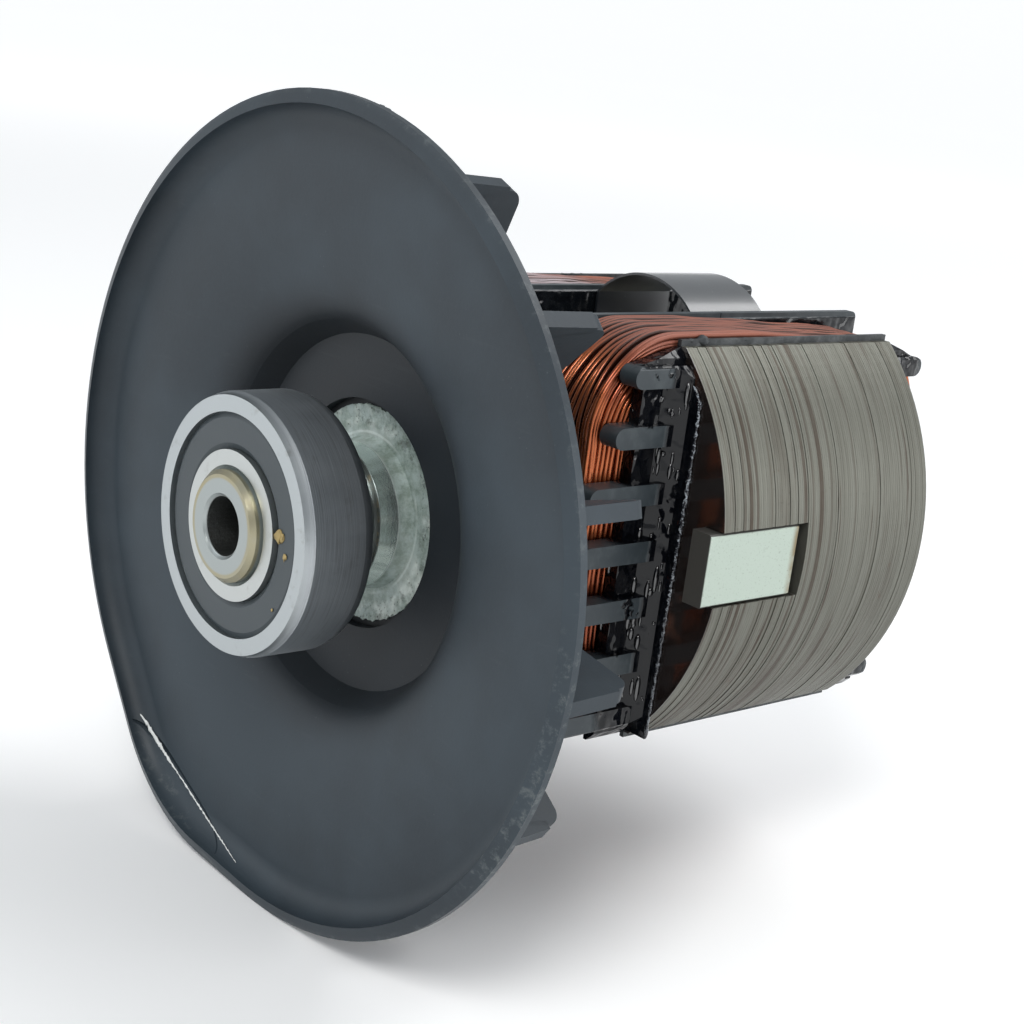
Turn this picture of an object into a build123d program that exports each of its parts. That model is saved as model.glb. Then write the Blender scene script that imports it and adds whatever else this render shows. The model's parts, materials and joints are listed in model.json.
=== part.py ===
from build123d import *

import os
from math import radians, tan

# Rotor of a small two-pole brushless generator, lying with its axis along Y.
# The origin is the middle of the ball bearing, +Y runs towards the drive end,
# the two poles point along +X and -X. All sizes are in millimetres.

# Ball bearing, 62 series
bore_radius = 8.5
outer_radius = 20.0
bearing_width = 12.0
race_wall = 2.38
ball_radius = (outer_radius - bore_radius) / 2 - race_wall
ball_count = 8
race_play = 0.06
race_conformity = 1.06
inner_land_wall = 2.9
outer_land_wall = 3.0
inner_land = bore_radius + inner_land_wall
outer_land = outer_radius - outer_land_wall
ring_edge_axial = 1.6
ring_edge_radial = 0.5
ring_bore_edge = 0.6
seal_thickness = 0.9
seal_recess = 0.5
seal_lip_gap = 0.06
cage_thickness = 0.6
cage_width = 3.0
cage_play = 0.12
cage_rivet_radius = 0.45

# Shaft
shaft_proud = 1.5
shaft_end_edge = 0.7
bolt_hole_radius = 4.5
bolt_hole_edge = 0.5
collar_radius = 10.5
stack_seat_radius = 11.0
drive_hub_radius = 12.8
drive_hub_length = 30.0
taper_mouth_radius = 8.5
taper_length = 28.0
taper_ratio = 8.0

# Die-cast fan insert
insert_gap = 7.7
insert_lip_radius = 11.3
insert_boss_radius = 12.1
insert_boss_length = 5.7
insert_flange_radius = 17.1
insert_flange_thickness = 4.0
insert_tail_length = 3.6
insert_tail_wall = 1.4
insert_fillet_sag = 0.15

# Fan
rim_radius = 64.4
rim_front = 4.9
rim_edge = 1.2
lip_width = 2.2
lip_slope = 0.9
disc_rim_depth = 3.0
disc_flat_inset = 10.4
disc_flat_radius = rim_radius - disc_flat_inset
disc_thickness = 2.2
hub_edge_radius = 28.2
hub_face = 17.6
hub_hole_radius = 18.2
hub_boss_radius = 21.5
hub_boss_length = 7.4
mouth_radius = 30.4
mouth_depth = 3.8
bell_mid_radius = 38.0
bell_mid_rise = 1.9
mouth_slope = 1.54
foot_width = 4.2
foot_rise = 1.9
foot_set = 2.2
blade_count = 14
blade_tip_inset = 4.9
blade_tip_radius = rim_radius - blade_tip_inset
blade_thickness = 2.5
blade_rear = 22.9
blade_corner = 2.4
blade_phase = 16.1

# Damage to the fan rim: the lip has sprung outwards along a straight crack
bulge_angle = -118.0
bulge_half_angle = 24.5
bulge_radius = 33.6
crack_start_angle = -131.2
crack_end_angle = -97.3
crack_inset = 0.6
crack_radius = rim_radius - crack_inset
crack_width = 0.8

# Lamination stack
pole_radius = 44.0
stack_front = 54.5
stack_length = 51.0
neck_half_height = 19.0
shoe_underside = 29.0
pole_tip_height = 32.1
groove_depth = 0.3
groove_width = 0.55
groove_places = (0.07, 0.1, 0.26, 0.33, 0.365, 0.54, 0.73, 0.9)

# Exciter magnets
magnet_length = 20.5
magnet_width = 11.8
magnet_thickness = 4.0
magnet_proud = 2.6
magnet_sink = 0.55
magnet_gap = 0.2
magnet_edge = 0.4
notch_tail = 2.4

# Winding frames and slot liners
frame_plate = 2.0
frame_wall = 2.2
frame_edge_inset = 0.8
frame_edge_radius = 1.85
flange_inner = 12.0
flange_thickness = 1.5
flange_height = 34.0
flange_corner = 1.2
tongue_gap = 0.1
liner_thickness = 0.8
liner_rise = 1.0
finger_pitch = 9.3
finger_width = 3.4
finger_depth = 3.6
foot_spread = 33.0
foot_length = 4.2
foot_edge = 0.4
shaft_clearance = 1.0
front_finger_reaches = (18.0, 18.0, 18.0, 18.0, 18.0, 14.3, 11.8)
front_wall_reach = 8.5
front_flange_reach = 14.5
rear_finger_reaches = (7.8, 7.8, 7.8, 7.8, 7.8, 7.8, 7.8)
rear_wall_reach = 5.6
rear_flange_reach = 11.0

# Coils
wire_pitch = 1.035
wires_across = 14
coil_height = 14.2
coil_gap = 0.15
coil_inner_corner = 2.0
ridge_depth = 0.32
coil_rear_reach = 10.5
coil_rear_drop = 2.8
coil_slope_start = 14.0
coil_rear_corner = 9.0
coil_bottom_drop = 2.2

# Rectifier diodes under the insulation films
diode_radius = 4.5
diode_length = 9.0
diode_wire_radius = 0.65
diode_wire_length = 6.0
lead_radius = 1.1
lead_hole_play = 0.15
lead_reach = 9.0
film_offset = 5.0
film_length = 18.0
film_crest = 38.2
film_leg = 7.0
film_spring_drop = 1.0
film_thickness = 0.45
film_side_gap = 0.15

# Places that follow from the sizes above
ring_half = bearing_width / 2
pitch_radius = (bore_radius + outer_radius) / 2
race_radius = ball_radius * race_conformity
race_centre_shift = race_radius - ball_radius - race_play
shaft_front = -ring_half - shaft_proud
insert_front = ring_half + insert_gap
insert_face = insert_front + insert_boss_length
insert_rear = insert_face + insert_flange_thickness
stack_rear = stack_front + stack_length
stack_middle = stack_front + stack_length / 2
film_front = stack_middle - film_offset
drive_end = stack_rear + drive_hub_length
coil_inner_x = flange_inner + flange_thickness + coil_gap
coil_outer_x = coil_inner_x + wires_across * wire_pitch
coil_bed = neck_half_height + liner_thickness + coil_gap
finger_inner_x = coil_outer_x + coil_gap


os.makedirs("parts", exist_ok=True)


def axial(y):
    """Plane across the rotor axis at y, with local x along X and local y along Z."""
    return Plane.XZ.offset(-y)


def radial(angle, slide=0):
    """Plane through the rotor axis, x outwards at the angle, slid along its normal."""
    outwards = Vector(1, 0, 0).rotate(Axis.Y, -angle)
    tangent = Vector(0, 0, 1).rotate(Axis.Y, -angle)
    return Plane(origin=tangent * slide, x_dir=outwards, z_dir=tangent)


# Shaft: bearing seat, collar, stack seat and drive-end hub, bored for one long bolt
taper_small_radius = taper_mouth_radius - taper_length / taper_ratio / 2
with BuildPart() as shaft:
    with BuildSketch(Plane.XY):
        with BuildLine():
            Polyline(
                (bolt_hole_radius, shaft_front + bolt_hole_edge),
                (bolt_hole_radius + bolt_hole_edge, shaft_front),
                (bore_radius - shaft_end_edge, shaft_front),
                (bore_radius, shaft_front + shaft_end_edge),
                (bore_radius, ring_half),
                (collar_radius, ring_half),
                (collar_radius, stack_front),
                (stack_seat_radius, stack_front),
                (stack_seat_radius, stack_rear),
                (drive_hub_radius, stack_rear),
                (drive_hub_radius, drive_end),
                (taper_mouth_radius, drive_end),
                (taper_small_radius, drive_end - taper_length),
                (bolt_hole_radius, drive_end - taper_length),
                close=True,
            )
        make_face()
    revolve(axis=Axis.Y)
shaft.part.label = "shaft"
export_step(shaft.part, "parts/shaft.step")

# Bearing rings, each with its ball groove
with BuildPart() as inner_ring:
    with BuildSketch(Plane.XY):
        with BuildLine():
            Polyline(
                (bore_radius, -ring_half + ring_bore_edge),
                (bore_radius + ring_bore_edge, -ring_half),
                (inner_land, -ring_half),
                (inner_land, ring_half),
                (bore_radius + ring_bore_edge, ring_half),
                (bore_radius, ring_half - ring_bore_edge),
                close=True,
            )
        make_face()
        with Locations((pitch_radius + race_centre_shift, 0)):
            Circle(race_radius, mode=Mode.SUBTRACT)
    revolve(axis=Axis.Y)
inner_ring.part.label = "bearing_inner_ring"
export_step(inner_ring.part, "parts/bearing_inner_ring.step")

with BuildPart() as outer_ring:
    with BuildSketch(Plane.XY):
        with BuildLine():
            Polyline(
                (outer_land, -ring_half),
                (outer_radius - ring_edge_radial, -ring_half),
                (outer_radius, -ring_half + ring_edge_axial),
                (outer_radius, ring_half - ring_edge_axial),
                (outer_radius - ring_edge_radial, ring_half),
                (outer_land, ring_half),
                close=True,
            )
        make_face()
        with Locations((pitch_radius - race_centre_shift, 0)):
            Circle(race_radius, mode=Mode.SUBTRACT)
    revolve(axis=Axis.Y)
outer_ring.part.label = "bearing_outer_ring"
export_step(outer_ring.part, "parts/bearing_outer_ring.step")

# Balls, cage halves and the rivets that join them
with BuildPart() as balls:
    with Locations(Plane.XZ):
        with PolarLocations(pitch_radius, ball_count):
            Sphere(ball_radius)
balls.part.label = "bearing_balls"
export_step(balls.part, "parts/bearing_balls.step")

pocket_radius = ball_radius + cage_play
cage_reach = pocket_radius + cage_thickness
half_ball_angle = 180 / ball_count
for side, name in ((-1, "front"), (1, "rear")):
    with BuildPart() as cage_half:
        with BuildSketch(axial(0)):
            Circle(pitch_radius + cage_width / 2)
            Circle(pitch_radius - cage_width / 2, mode=Mode.SUBTRACT)
        extrude(amount=-side * cage_thickness)
        with BuildSketch(axial(0)):
            with PolarLocations(pitch_radius, ball_count):
                Circle(cage_reach)
        extrude(amount=-side * cage_reach)
        with BuildSketch(axial(0)):
            Circle(pitch_radius + cage_width / 2)
            Circle(pitch_radius - cage_width / 2, mode=Mode.SUBTRACT)
        extrude(amount=-side * cage_reach, mode=Mode.INTERSECT)
        with BuildSketch(axial(0)):
            with PolarLocations(pitch_radius, ball_count):
                Circle(pocket_radius)
        extrude(amount=-side * pocket_radius, mode=Mode.SUBTRACT)
        with BuildSketch(axial(0)):
            with PolarLocations(pitch_radius, ball_count, start_angle=half_ball_angle):
                Circle(cage_rivet_radius)
        extrude(amount=cage_reach, both=True, mode=Mode.SUBTRACT)
    cage_half.part.label = f"bearing_cage_{name}"
    export_step(cage_half.part, f"parts/bearing_cage_{name}.step")

with BuildPart() as cage_rivets:
    with BuildSketch(axial(-cage_thickness)):
        with PolarLocations(pitch_radius, ball_count, start_angle=half_ball_angle):
            Circle(cage_rivet_radius)
    extrude(amount=-2 * cage_thickness)
    for face_y, outward in ((-cage_thickness, 1), (cage_thickness, -1)):
        with BuildSketch(axial(face_y)):
            with PolarLocations(pitch_radius, ball_count, start_angle=half_ball_angle):
                Circle(2 * cage_rivet_radius)
        extrude(amount=outward * cage_rivet_radius, taper=35)
cage_rivets.part.label = "bearing_cage_rivets"
export_step(cage_rivets.part, "parts/bearing_cage_rivets.step")

# Rubber seals, snapped into the outer ring and just clear of the inner one
for side, name in ((-1, "front"), (1, "rear")):
    seal_outside = ring_half - seal_recess
    with BuildPart() as seal:
        with BuildSketch(Plane.XY):
            with BuildLine():
                Polyline(
                    (inner_land + seal_lip_gap, side * (seal_outside - 0.6 * seal_thickness)),
                    (inner_land + seal_lip_gap + seal_thickness, side * seal_outside),
                    (outer_land - seal_thickness, side * seal_outside),
                    (outer_land, side * (seal_outside - 0.5 * seal_thickness)),
                    (outer_land, side * (seal_outside - seal_thickness)),
                    (inner_land + seal_lip_gap, side * (seal_outside - seal_thickness)),
                    close=True,
                )
            make_face()
        revolve(axis=Axis.Y)
    seal.part.label = f"bearing_{name}_seal"
    export_step(seal.part, f"parts/bearing_{name}_seal.step")

# Die-cast insert that the fan is moulded round
with BuildPart() as fan_insert:
    with BuildSketch(Plane.XY):
        with BuildLine():
            Polyline(
                (insert_boss_radius, insert_face),
                (insert_flange_radius, insert_face),
                (insert_flange_radius, insert_rear),
                (insert_boss_radius + insert_tail_wall, insert_rear),
                (insert_boss_radius + insert_tail_wall, insert_rear + insert_tail_length),
                (collar_radius, insert_rear + insert_tail_length),
                (collar_radius, insert_front),
                (insert_lip_radius, insert_front),
            )
            ThreePointArc(
                (insert_lip_radius, insert_front),
                (insert_lip_radius + insert_fillet_sag, insert_front + 0.6 * insert_boss_length),
                (insert_boss_radius, insert_face),
            )
        make_face()
    revolve(axis=Axis.Y)
fan_insert.part.label = "fan_insert"
export_step(fan_insert.part, "parts/fan_insert.step")

# Fan disc: flat hub, steep mouth, trumpet-shaped bell and a flat outer web
disc_face = rim_front + disc_rim_depth
mouth_y = hub_face - mouth_depth
bell_mid_y = disc_face + bell_mid_rise
hub_grip_radius = insert_boss_radius + insert_tail_wall
hub_rear = hub_face + hub_boss_length
lip_foot_radius = rim_radius - lip_width
disc_edge_radius = lip_foot_radius - foot_width
web_rear = disc_face + disc_thickness
back_mouth_radius = mouth_radius + 0.8 * disc_thickness
back_mouth_y = mouth_y + 0.6 * disc_thickness


def rim_section(plane):
    """Section of the rim on the plane: outer web, raised lip and thin outer edge."""
    with BuildSketch(plane, mode=Mode.PRIVATE) as section:
        with BuildLine():
            ThreePointArc(
                (disc_edge_radius, disc_face),
                (lip_foot_radius - foot_set / 2, rim_front + foot_rise),
                (lip_foot_radius, rim_front - lip_slope),
            )
            Polyline(
                (lip_foot_radius, rim_front - lip_slope),
                (rim_radius, rim_front),
                (rim_radius, rim_front + rim_edge),
                (lip_foot_radius - foot_set, web_rear),
                (disc_flat_radius, web_rear),
                (disc_flat_radius, disc_face),
                (disc_edge_radius, disc_face),
            )
        make_face()
    return section.sketch.face()


with BuildPart() as fan:
    with BuildSketch(Plane.XY):
        with BuildLine():
            Polyline(
                (hub_grip_radius, hub_rear),
                (hub_grip_radius, insert_rear),
                (insert_flange_radius, insert_rear),
                (insert_flange_radius, insert_face),
                (hub_hole_radius, insert_face),
                (hub_hole_radius, hub_face),
                (hub_edge_radius, hub_face),
                (mouth_radius, mouth_y),
            )
            Spline(
                (mouth_radius, mouth_y),
                (bell_mid_radius, bell_mid_y),
                (disc_flat_radius, disc_face),
                tangents=((1, -mouth_slope), (1, 0)),
            )
            Polyline(
                (disc_flat_radius, disc_face),
                (disc_edge_radius, disc_face),
                (disc_edge_radius, web_rear),
                (disc_flat_radius, web_rear),
            )
            Spline(
                (disc_flat_radius, web_rear),
                (bell_mid_radius + 0.5 * disc_thickness, bell_mid_y + 0.9 * disc_thickness),
                (back_mouth_radius, back_mouth_y),
                tangents=((-1, 0), (-1, mouth_slope)),
            )
            Polyline(
                (back_mouth_radius, back_mouth_y),
                (hub_edge_radius + disc_thickness, hub_face + disc_thickness),
                (hub_boss_radius, hub_face + disc_thickness),
                (hub_boss_radius, hub_rear),
                (hub_grip_radius, hub_rear),
            )
        make_face()
    revolve(axis=Axis.Y)

    # Rim section carried round the circle, along two straight runs and round the bulge
    straight_run = (rim_radius - bulge_radius) * tan(radians(bulge_half_angle))
    run_start = bulge_angle - bulge_half_angle
    run_end = bulge_angle + bulge_half_angle
    bulge_plane = radial(run_start, straight_run)
    bulge_centre = bulge_plane.origin + bulge_plane.x_dir * (rim_radius - bulge_radius)
    revolve(
        rim_section(radial(run_end)),
        axis=Axis((0, 0, 0), (0, -1, 0)),
        revolution_arc=360 - 2 * bulge_half_angle,
    )
    extrude(rim_section(radial(run_end)), amount=-straight_run)
    extrude(rim_section(radial(run_start)), amount=straight_run)
    revolve(
        rim_section(bulge_plane),
        axis=Axis(bulge_centre, (0, -1, 0)),
        revolution_arc=2 * bulge_half_angle,
    )

    # Crack along the foot of the lip, widest near its upper end
    crack_start = Vector(crack_radius, 0).rotate(Axis.Z, crack_start_angle)
    crack_end = Vector(crack_radius, 0).rotate(Axis.Z, crack_end_angle)
    along = crack_end - crack_start
    across = along.rotate(Axis.Z, -90).normalized() * crack_width
    crack_wide = crack_start + along * 0.12 + across
    crack_narrow = crack_start + along * 0.55 + across * 0.5
    with BuildSketch(axial(rim_front)):
        with BuildLine():
            Polyline(crack_start, crack_wide, crack_narrow, crack_end, close=True)
        make_face()
    extrude(amount=-disc_rim_depth - 2 * disc_thickness, mode=Mode.SUBTRACT)

    # Radial blades, rooted in the thickness of the disc
    half_disc = disc_thickness / 2
    for blade in range(blade_count):
        with BuildSketch(radial(blade_phase + blade * 360 / blade_count)):
            with BuildLine():
                FilletPolyline(
                    (disc_edge_radius - half_disc, disc_face + half_disc),
                    (blade_tip_radius, blade_rear),
                    (hub_boss_radius + 2 * disc_thickness, blade_rear),
                    (hub_boss_radius - half_disc, hub_face + disc_thickness + half_disc),
                    radius=blade_corner,
                )
                Polyline(
                    (hub_boss_radius - half_disc, hub_face + disc_thickness + half_disc),
                    (hub_boss_radius - half_disc, hub_face + half_disc),
                    (hub_edge_radius, hub_face + half_disc),
                    (mouth_radius + half_disc, mouth_y + half_disc),
                    (bell_mid_radius, bell_mid_y + half_disc),
                    (disc_flat_radius, disc_face + half_disc),
                    (disc_edge_radius - half_disc, disc_face + half_disc),
                )
            make_face()
        extrude(amount=blade_thickness / 2, both=True)
fan.part.label = "fan"
export_step(fan.part, "parts/fan.step")

# Lamination stack: two pole shoes on one straight neck, with a few proud plate groups
with BuildPart() as stack:
    with BuildSketch(axial(stack_front)):
        Circle(pole_radius)
        Rectangle(2 * pole_radius, 2 * pole_tip_height, mode=Mode.INTERSECT)
        Rectangle(2 * shoe_underside, 2 * pole_tip_height, mode=Mode.SUBTRACT)
        Rectangle(2 * shoe_underside, 2 * neck_half_height)
        Circle(stack_seat_radius, mode=Mode.SUBTRACT)
    extrude(amount=-stack_length)
    for place in groove_places:
        with BuildSketch(axial(stack_front + place * stack_length)):
            Circle(pole_radius + 1)
            Circle(pole_radius - groove_depth, mode=Mode.SUBTRACT)
        extrude(amount=-groove_width, mode=Mode.SUBTRACT)
    notch_length = magnet_length - magnet_proud + notch_tail
    notch_floor = pole_radius - magnet_sink - magnet_thickness
    with BuildSketch(axial(stack_front)):
        for side in (-1, 1):
            with Locations((side * pole_radius, 0)):
                Rectangle(2 * (pole_radius - notch_floor), magnet_width + 2 * magnet_gap)
    extrude(amount=-notch_length, mode=Mode.SUBTRACT)
stack.part.label = "lamination_stack"
export_step(stack.part, "parts/lamination_stack.step")

# Exciter magnets, glued in the pole notches and standing proud of the front plates
for side, name in ((1, "near"), (-1, "far")):
    with BuildPart() as magnet:
        with BuildSketch(axial(stack_front - magnet_proud)):
            with Locations((side * (notch_floor + magnet_thickness / 2), 0)):
                Rectangle(magnet_thickness, magnet_width)
        extrude(amount=-magnet_length)
        chamfer(magnet.edges().filter_by(Axis.Y).group_by(Axis.X)[-1 if side > 0 else 0], magnet_edge)
    magnet.part.label = f"magnet_{name}"
    export_step(magnet.part, f"parts/magnet_{name}.step")

# Winding frames: end plate, inner flanges with tongues into the slots, outer walls with fingers
wall_outer_x = finger_inner_x + frame_wall
frame_ends = (
    ("front", stack_front, -1, collar_radius, front_finger_reaches, front_wall_reach, front_flange_reach),
    ("rear", stack_rear, 1, drive_hub_radius, rear_finger_reaches, rear_wall_reach, rear_flange_reach),
)
end_finger_z = (len(front_finger_reaches) - 1) / 2 * finger_pitch
wall_top = end_finger_z + finger_width / 2
lead_y = film_length / 2 + lead_reach
for name, face_y, out, shaft_radius, finger_reaches, wall_reach, flange_reach in frame_ends:
    with BuildPart() as frame:
        with BuildSketch(axial(face_y)):
            Rectangle(2 * finger_inner_x, 2 * (coil_bed - coil_gap))
        extrude(amount=-out * frame_plate)
        fillet(
            frame.faces().sort_by(Axis.Y)[-1 if out > 0 else 0].edges().filter_by(Axis.X),
            radius=frame_edge_radius,
        )
        for side in (-1, 1):
            # Inner flange beyond the stack, then its tongues along the slots
            with BuildSketch(Plane.YZ.offset(side * (flange_inner + flange_thickness / 2))):
                with Locations((face_y + out * flange_reach / 2, 0)):
                    RectangleRounded(flange_reach, 2 * flange_height, flange_corner)
                tongue_length = stack_length / 2 - tongue_gap
                tongue_height = flange_height - neck_half_height
                for way in (-1, 1):
                    tongue_z = way * (neck_half_height + tongue_height / 2)
                    with Locations((face_y - out * (tongue_length - frame_plate) / 2, tongue_z)):
                        Rectangle(tongue_length + frame_plate, tongue_height)
            extrude(amount=flange_thickness / 2, both=True)
            # Outer wall with a foot that spreads over the pole face
            with BuildSketch(Plane.XY.offset(-pole_tip_height)):
                with BuildLine():
                    Polyline(
                        (side * finger_inner_x, face_y),
                        (side * foot_spread, face_y),
                        (side * foot_spread, face_y + out * foot_edge),
                        (side * wall_outer_x, face_y + out * foot_length),
                        (side * wall_outer_x, face_y + out * wall_reach),
                        (side * finger_inner_x, face_y + out * wall_reach),
                        close=True,
                    )
                make_face()
            extrude(amount=pole_tip_height + wall_top)
            # Fingers with rounded tips, and a gusset from the top one up to the pole tip
            with BuildSketch(Plane.YZ.offset(side * (finger_inner_x + finger_depth / 2))):
                for finger, finger_reach in enumerate(finger_reaches):
                    finger_z = finger * finger_pitch - end_finger_z
                    tip_y = face_y + out * (finger_reach - finger_width / 2)
                    root_y = face_y + out * frame_plate
                    with Locations(((tip_y + root_y) / 2, finger_z)):
                        Rectangle(abs(tip_y - root_y), finger_width)
                    with Locations((tip_y, finger_z)):
                        Circle(finger_width / 2)
            extrude(amount=finger_depth / 2, both=True)
            with BuildSketch(Plane.YZ.offset(side * (finger_inner_x + frame_wall / 2))):
                gusset_y = face_y + out * (finger_reaches[-1] - finger_width / 2)
                with BuildLine():
                    Polyline(
                        (face_y, end_finger_z),
                        (gusset_y, end_finger_z),
                        (gusset_y, wall_top),
                        (face_y, pole_tip_height),
                        close=True,
                    )
                make_face()
            extrude(amount=frame_wall / 2, both=True)
        # Round outline inside the pole circle, running clearance and the two lead holes
        with BuildSketch(axial(face_y - out * stack_length / 2)):
            Circle(pole_radius - frame_edge_inset)
        extrude(amount=-out * (stack_length / 2 + max(finger_reaches) + flange_reach), mode=Mode.INTERSECT)
        with BuildSketch(axial(face_y)):
            Circle(shaft_radius + shaft_clearance)
        extrude(amount=-out * (flange_reach + 1), mode=Mode.SUBTRACT)
        for side in (-1, 1):
            hole_y = film_front + film_length / 2 + out * lead_y
            with BuildSketch(Plane.YZ):
                with Locations((hole_y, side * (neck_half_height + diode_radius))):
                    Circle(lead_radius + lead_hole_play)
            extrude(amount=side * (flange_inner + 2 * flange_thickness), mode=Mode.SUBTRACT)
    frame.part.label = f"winding_frame_{name}"
    export_step(frame.part, f"parts/winding_frame_{name}.step")

# Slot liners: folded strips on the neck and up behind each pole shoe
for side, near in ((1, "near"), (-1, "far")):
    for way, height in ((1, "top"), (-1, "bottom")):
        with BuildPart() as liner:
            with BuildSketch(axial(stack_front)):
                with BuildLine():
                    Polyline(
                        (side * (flange_inner + flange_thickness), way * neck_half_height),
                        (side * shoe_underside, way * neck_half_height),
                        (side * shoe_underside, way * (pole_tip_height + liner_rise)),
                        (side * (shoe_underside - liner_thickness), way * (pole_tip_height + liner_rise)),
                        (side * (shoe_underside - liner_thickness), way * (neck_half_height + liner_thickness)),
                        (side * (flange_inner + flange_thickness), way * (neck_half_height + liner_thickness)),
                        close=True,
                    )
                make_face()
            extrude(amount=-stack_length)
        liner.part.label = f"slot_liner_{near}_{height}"
        export_step(liner.part, f"parts/slot_liner_{near}_{height}.step")

# Coils: one ridged section, a ridge for each wire of the outer layers, swept round the neck,
# then drawn in towards the rear, where the turns lie tighter
coil_front = stack_front - frame_plate - coil_gap
coil_rear = stack_rear + frame_plate + coil_gap
wires_deep = round(coil_height / wire_pitch)
for side, name in ((1, "near"), (-1, "far")):
    with BuildPart() as coil:
        with BuildLine(Plane.YZ.offset(side * coil_inner_x)) as coil_path:
            FilletPolyline(
                (stack_middle, coil_bed),
                (coil_rear, coil_bed),
                (coil_rear, -coil_bed),
                (coil_front, -coil_bed),
                (coil_front, coil_bed),
                (stack_middle + coil_gap, coil_bed),
                radius=coil_inner_corner,
            )
            Line((stack_middle + coil_gap, coil_bed), (stack_middle, coil_bed))
        with BuildSketch(axial(stack_middle)):
            with BuildLine():
                outline = [(side * coil_inner_x, coil_bed)]
                outline.append((side * coil_inner_x, coil_bed + coil_height - ridge_depth))
                for wire in range(wires_across):
                    crest_x = coil_inner_x + (wire + 0.5) * wire_pitch
                    outline.append((side * crest_x, coil_bed + coil_height))
                    outline.append((side * (crest_x + wire_pitch / 2), coil_bed + coil_height - ridge_depth))
                for wire in reversed(range(1, wires_deep)):
                    valley_z = coil_bed + wire * wire_pitch
                    outline.append((side * coil_outer_x, valley_z + wire_pitch / 2))
                    outline.append((side * (coil_outer_x - ridge_depth), valley_z))
                outline.append((side * coil_outer_x, coil_bed))
                Polyline(*outline, close=True)
            make_face()
        sweep(path=coil_path.line)
        slope_y = stack_front + coil_slope_start
        coil_top = coil_bed + coil_height
        coil_end = coil_rear + coil_rear_reach
        with BuildSketch(Plane.YZ.offset(side * coil_inner_x)) as coil_outline:
            with BuildLine():
                Polyline(
                    (coil_front - coil_height, coil_top),
                    (slope_y, coil_top),
                    (coil_end, coil_top - coil_rear_drop),
                    (coil_end, coil_rear_drop - coil_top),
                    (slope_y, coil_bottom_drop - coil_top),
                    (coil_front - coil_height, coil_bottom_drop - coil_top),
                    close=True,
                )
            make_face()
            fillet(coil_outline.vertices().group_by(Axis.X)[-1], radius=coil_rear_corner)
        extrude(amount=side * wires_across * wire_pitch, mode=Mode.INTERSECT)
    coil.part.label = f"coil_{name}"
    export_step(coil.part, f"parts/coil_{name}.step")

# Rectifier diodes on the core between the coils, each joined to its coil by two sleeved leads
diode_z = neck_half_height + diode_radius
diode_y = film_front + film_length / 2
for way, height in ((1, "top"), (-1, "bottom")):
    with BuildPart() as diode:
        with BuildSketch(axial(diode_y - diode_length / 2)):
            with Locations((0, way * diode_z)):
                Circle(diode_radius)
        extrude(amount=-diode_length)
        with BuildSketch(axial(diode_y - diode_length / 2 - diode_wire_length)):
            with Locations((0, way * diode_z)):
                Circle(diode_wire_radius)
        extrude(amount=-diode_length - 2 * diode_wire_length)
    diode.part.label = f"diode_{height}"
    export_step(diode.part, f"parts/diode_{height}.step")
    for out, name in ((-1, "front"), (1, "rear")):
        wire_end = diode_y + out * (diode_length / 2 + diode_wire_length)
        turn_y = diode_y + out * lead_y
        with BuildPart() as lead:
            with BuildLine(Plane.XY.offset(way * diode_z)) as lead_path:
                FilletPolyline(
                    (0, wire_end),
                    (0, turn_y),
                    (way * (coil_inner_x - coil_gap), turn_y),
                    radius=2 * lead_radius,
                )
            with BuildSketch(axial(wire_end)):
                with Locations((0, way * diode_z)):
                    Circle(lead_radius)
            sweep(path=lead_path.line)
        lead.part.label = f"lead_{height}_{name}"
        export_step(lead.part, f"parts/lead_{height}_{name}.step")

# Insulation films arched over the diodes, their legs tucked inside the flanges
film_half = flange_inner - film_side_gap
for way, height in ((1, "top"), (-1, "bottom")):
    with BuildPart() as film:
        with BuildSketch(axial(film_front)):
            with BuildLine():
                leg_z = way * (flange_height - film_leg)
                bend_z = way * (flange_height - film_spring_drop)
                inner_half = film_half - film_thickness
                Line((-film_half, leg_z), (-film_half, bend_z))
                ThreePointArc((-film_half, bend_z), (0, way * film_crest), (film_half, bend_z))
                Polyline((film_half, bend_z), (film_half, leg_z), (inner_half, leg_z), (inner_half, bend_z))
                ThreePointArc(
                    (inner_half, bend_z), (0, way * (film_crest - film_thickness)), (-inner_half, bend_z)
                )
                Polyline((-inner_half, bend_z), (-inner_half, leg_z), (-film_half, leg_z))
            make_face()
        extrude(amount=-film_length)
    film.part.label = f"insulation_film_{height}"
    export_step(film.part, f"parts/insulation_film_{height}.step")
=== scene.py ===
import json
import math
import random

import bmesh
import bpy
from mathutils import Matrix, Vector, noise

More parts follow.
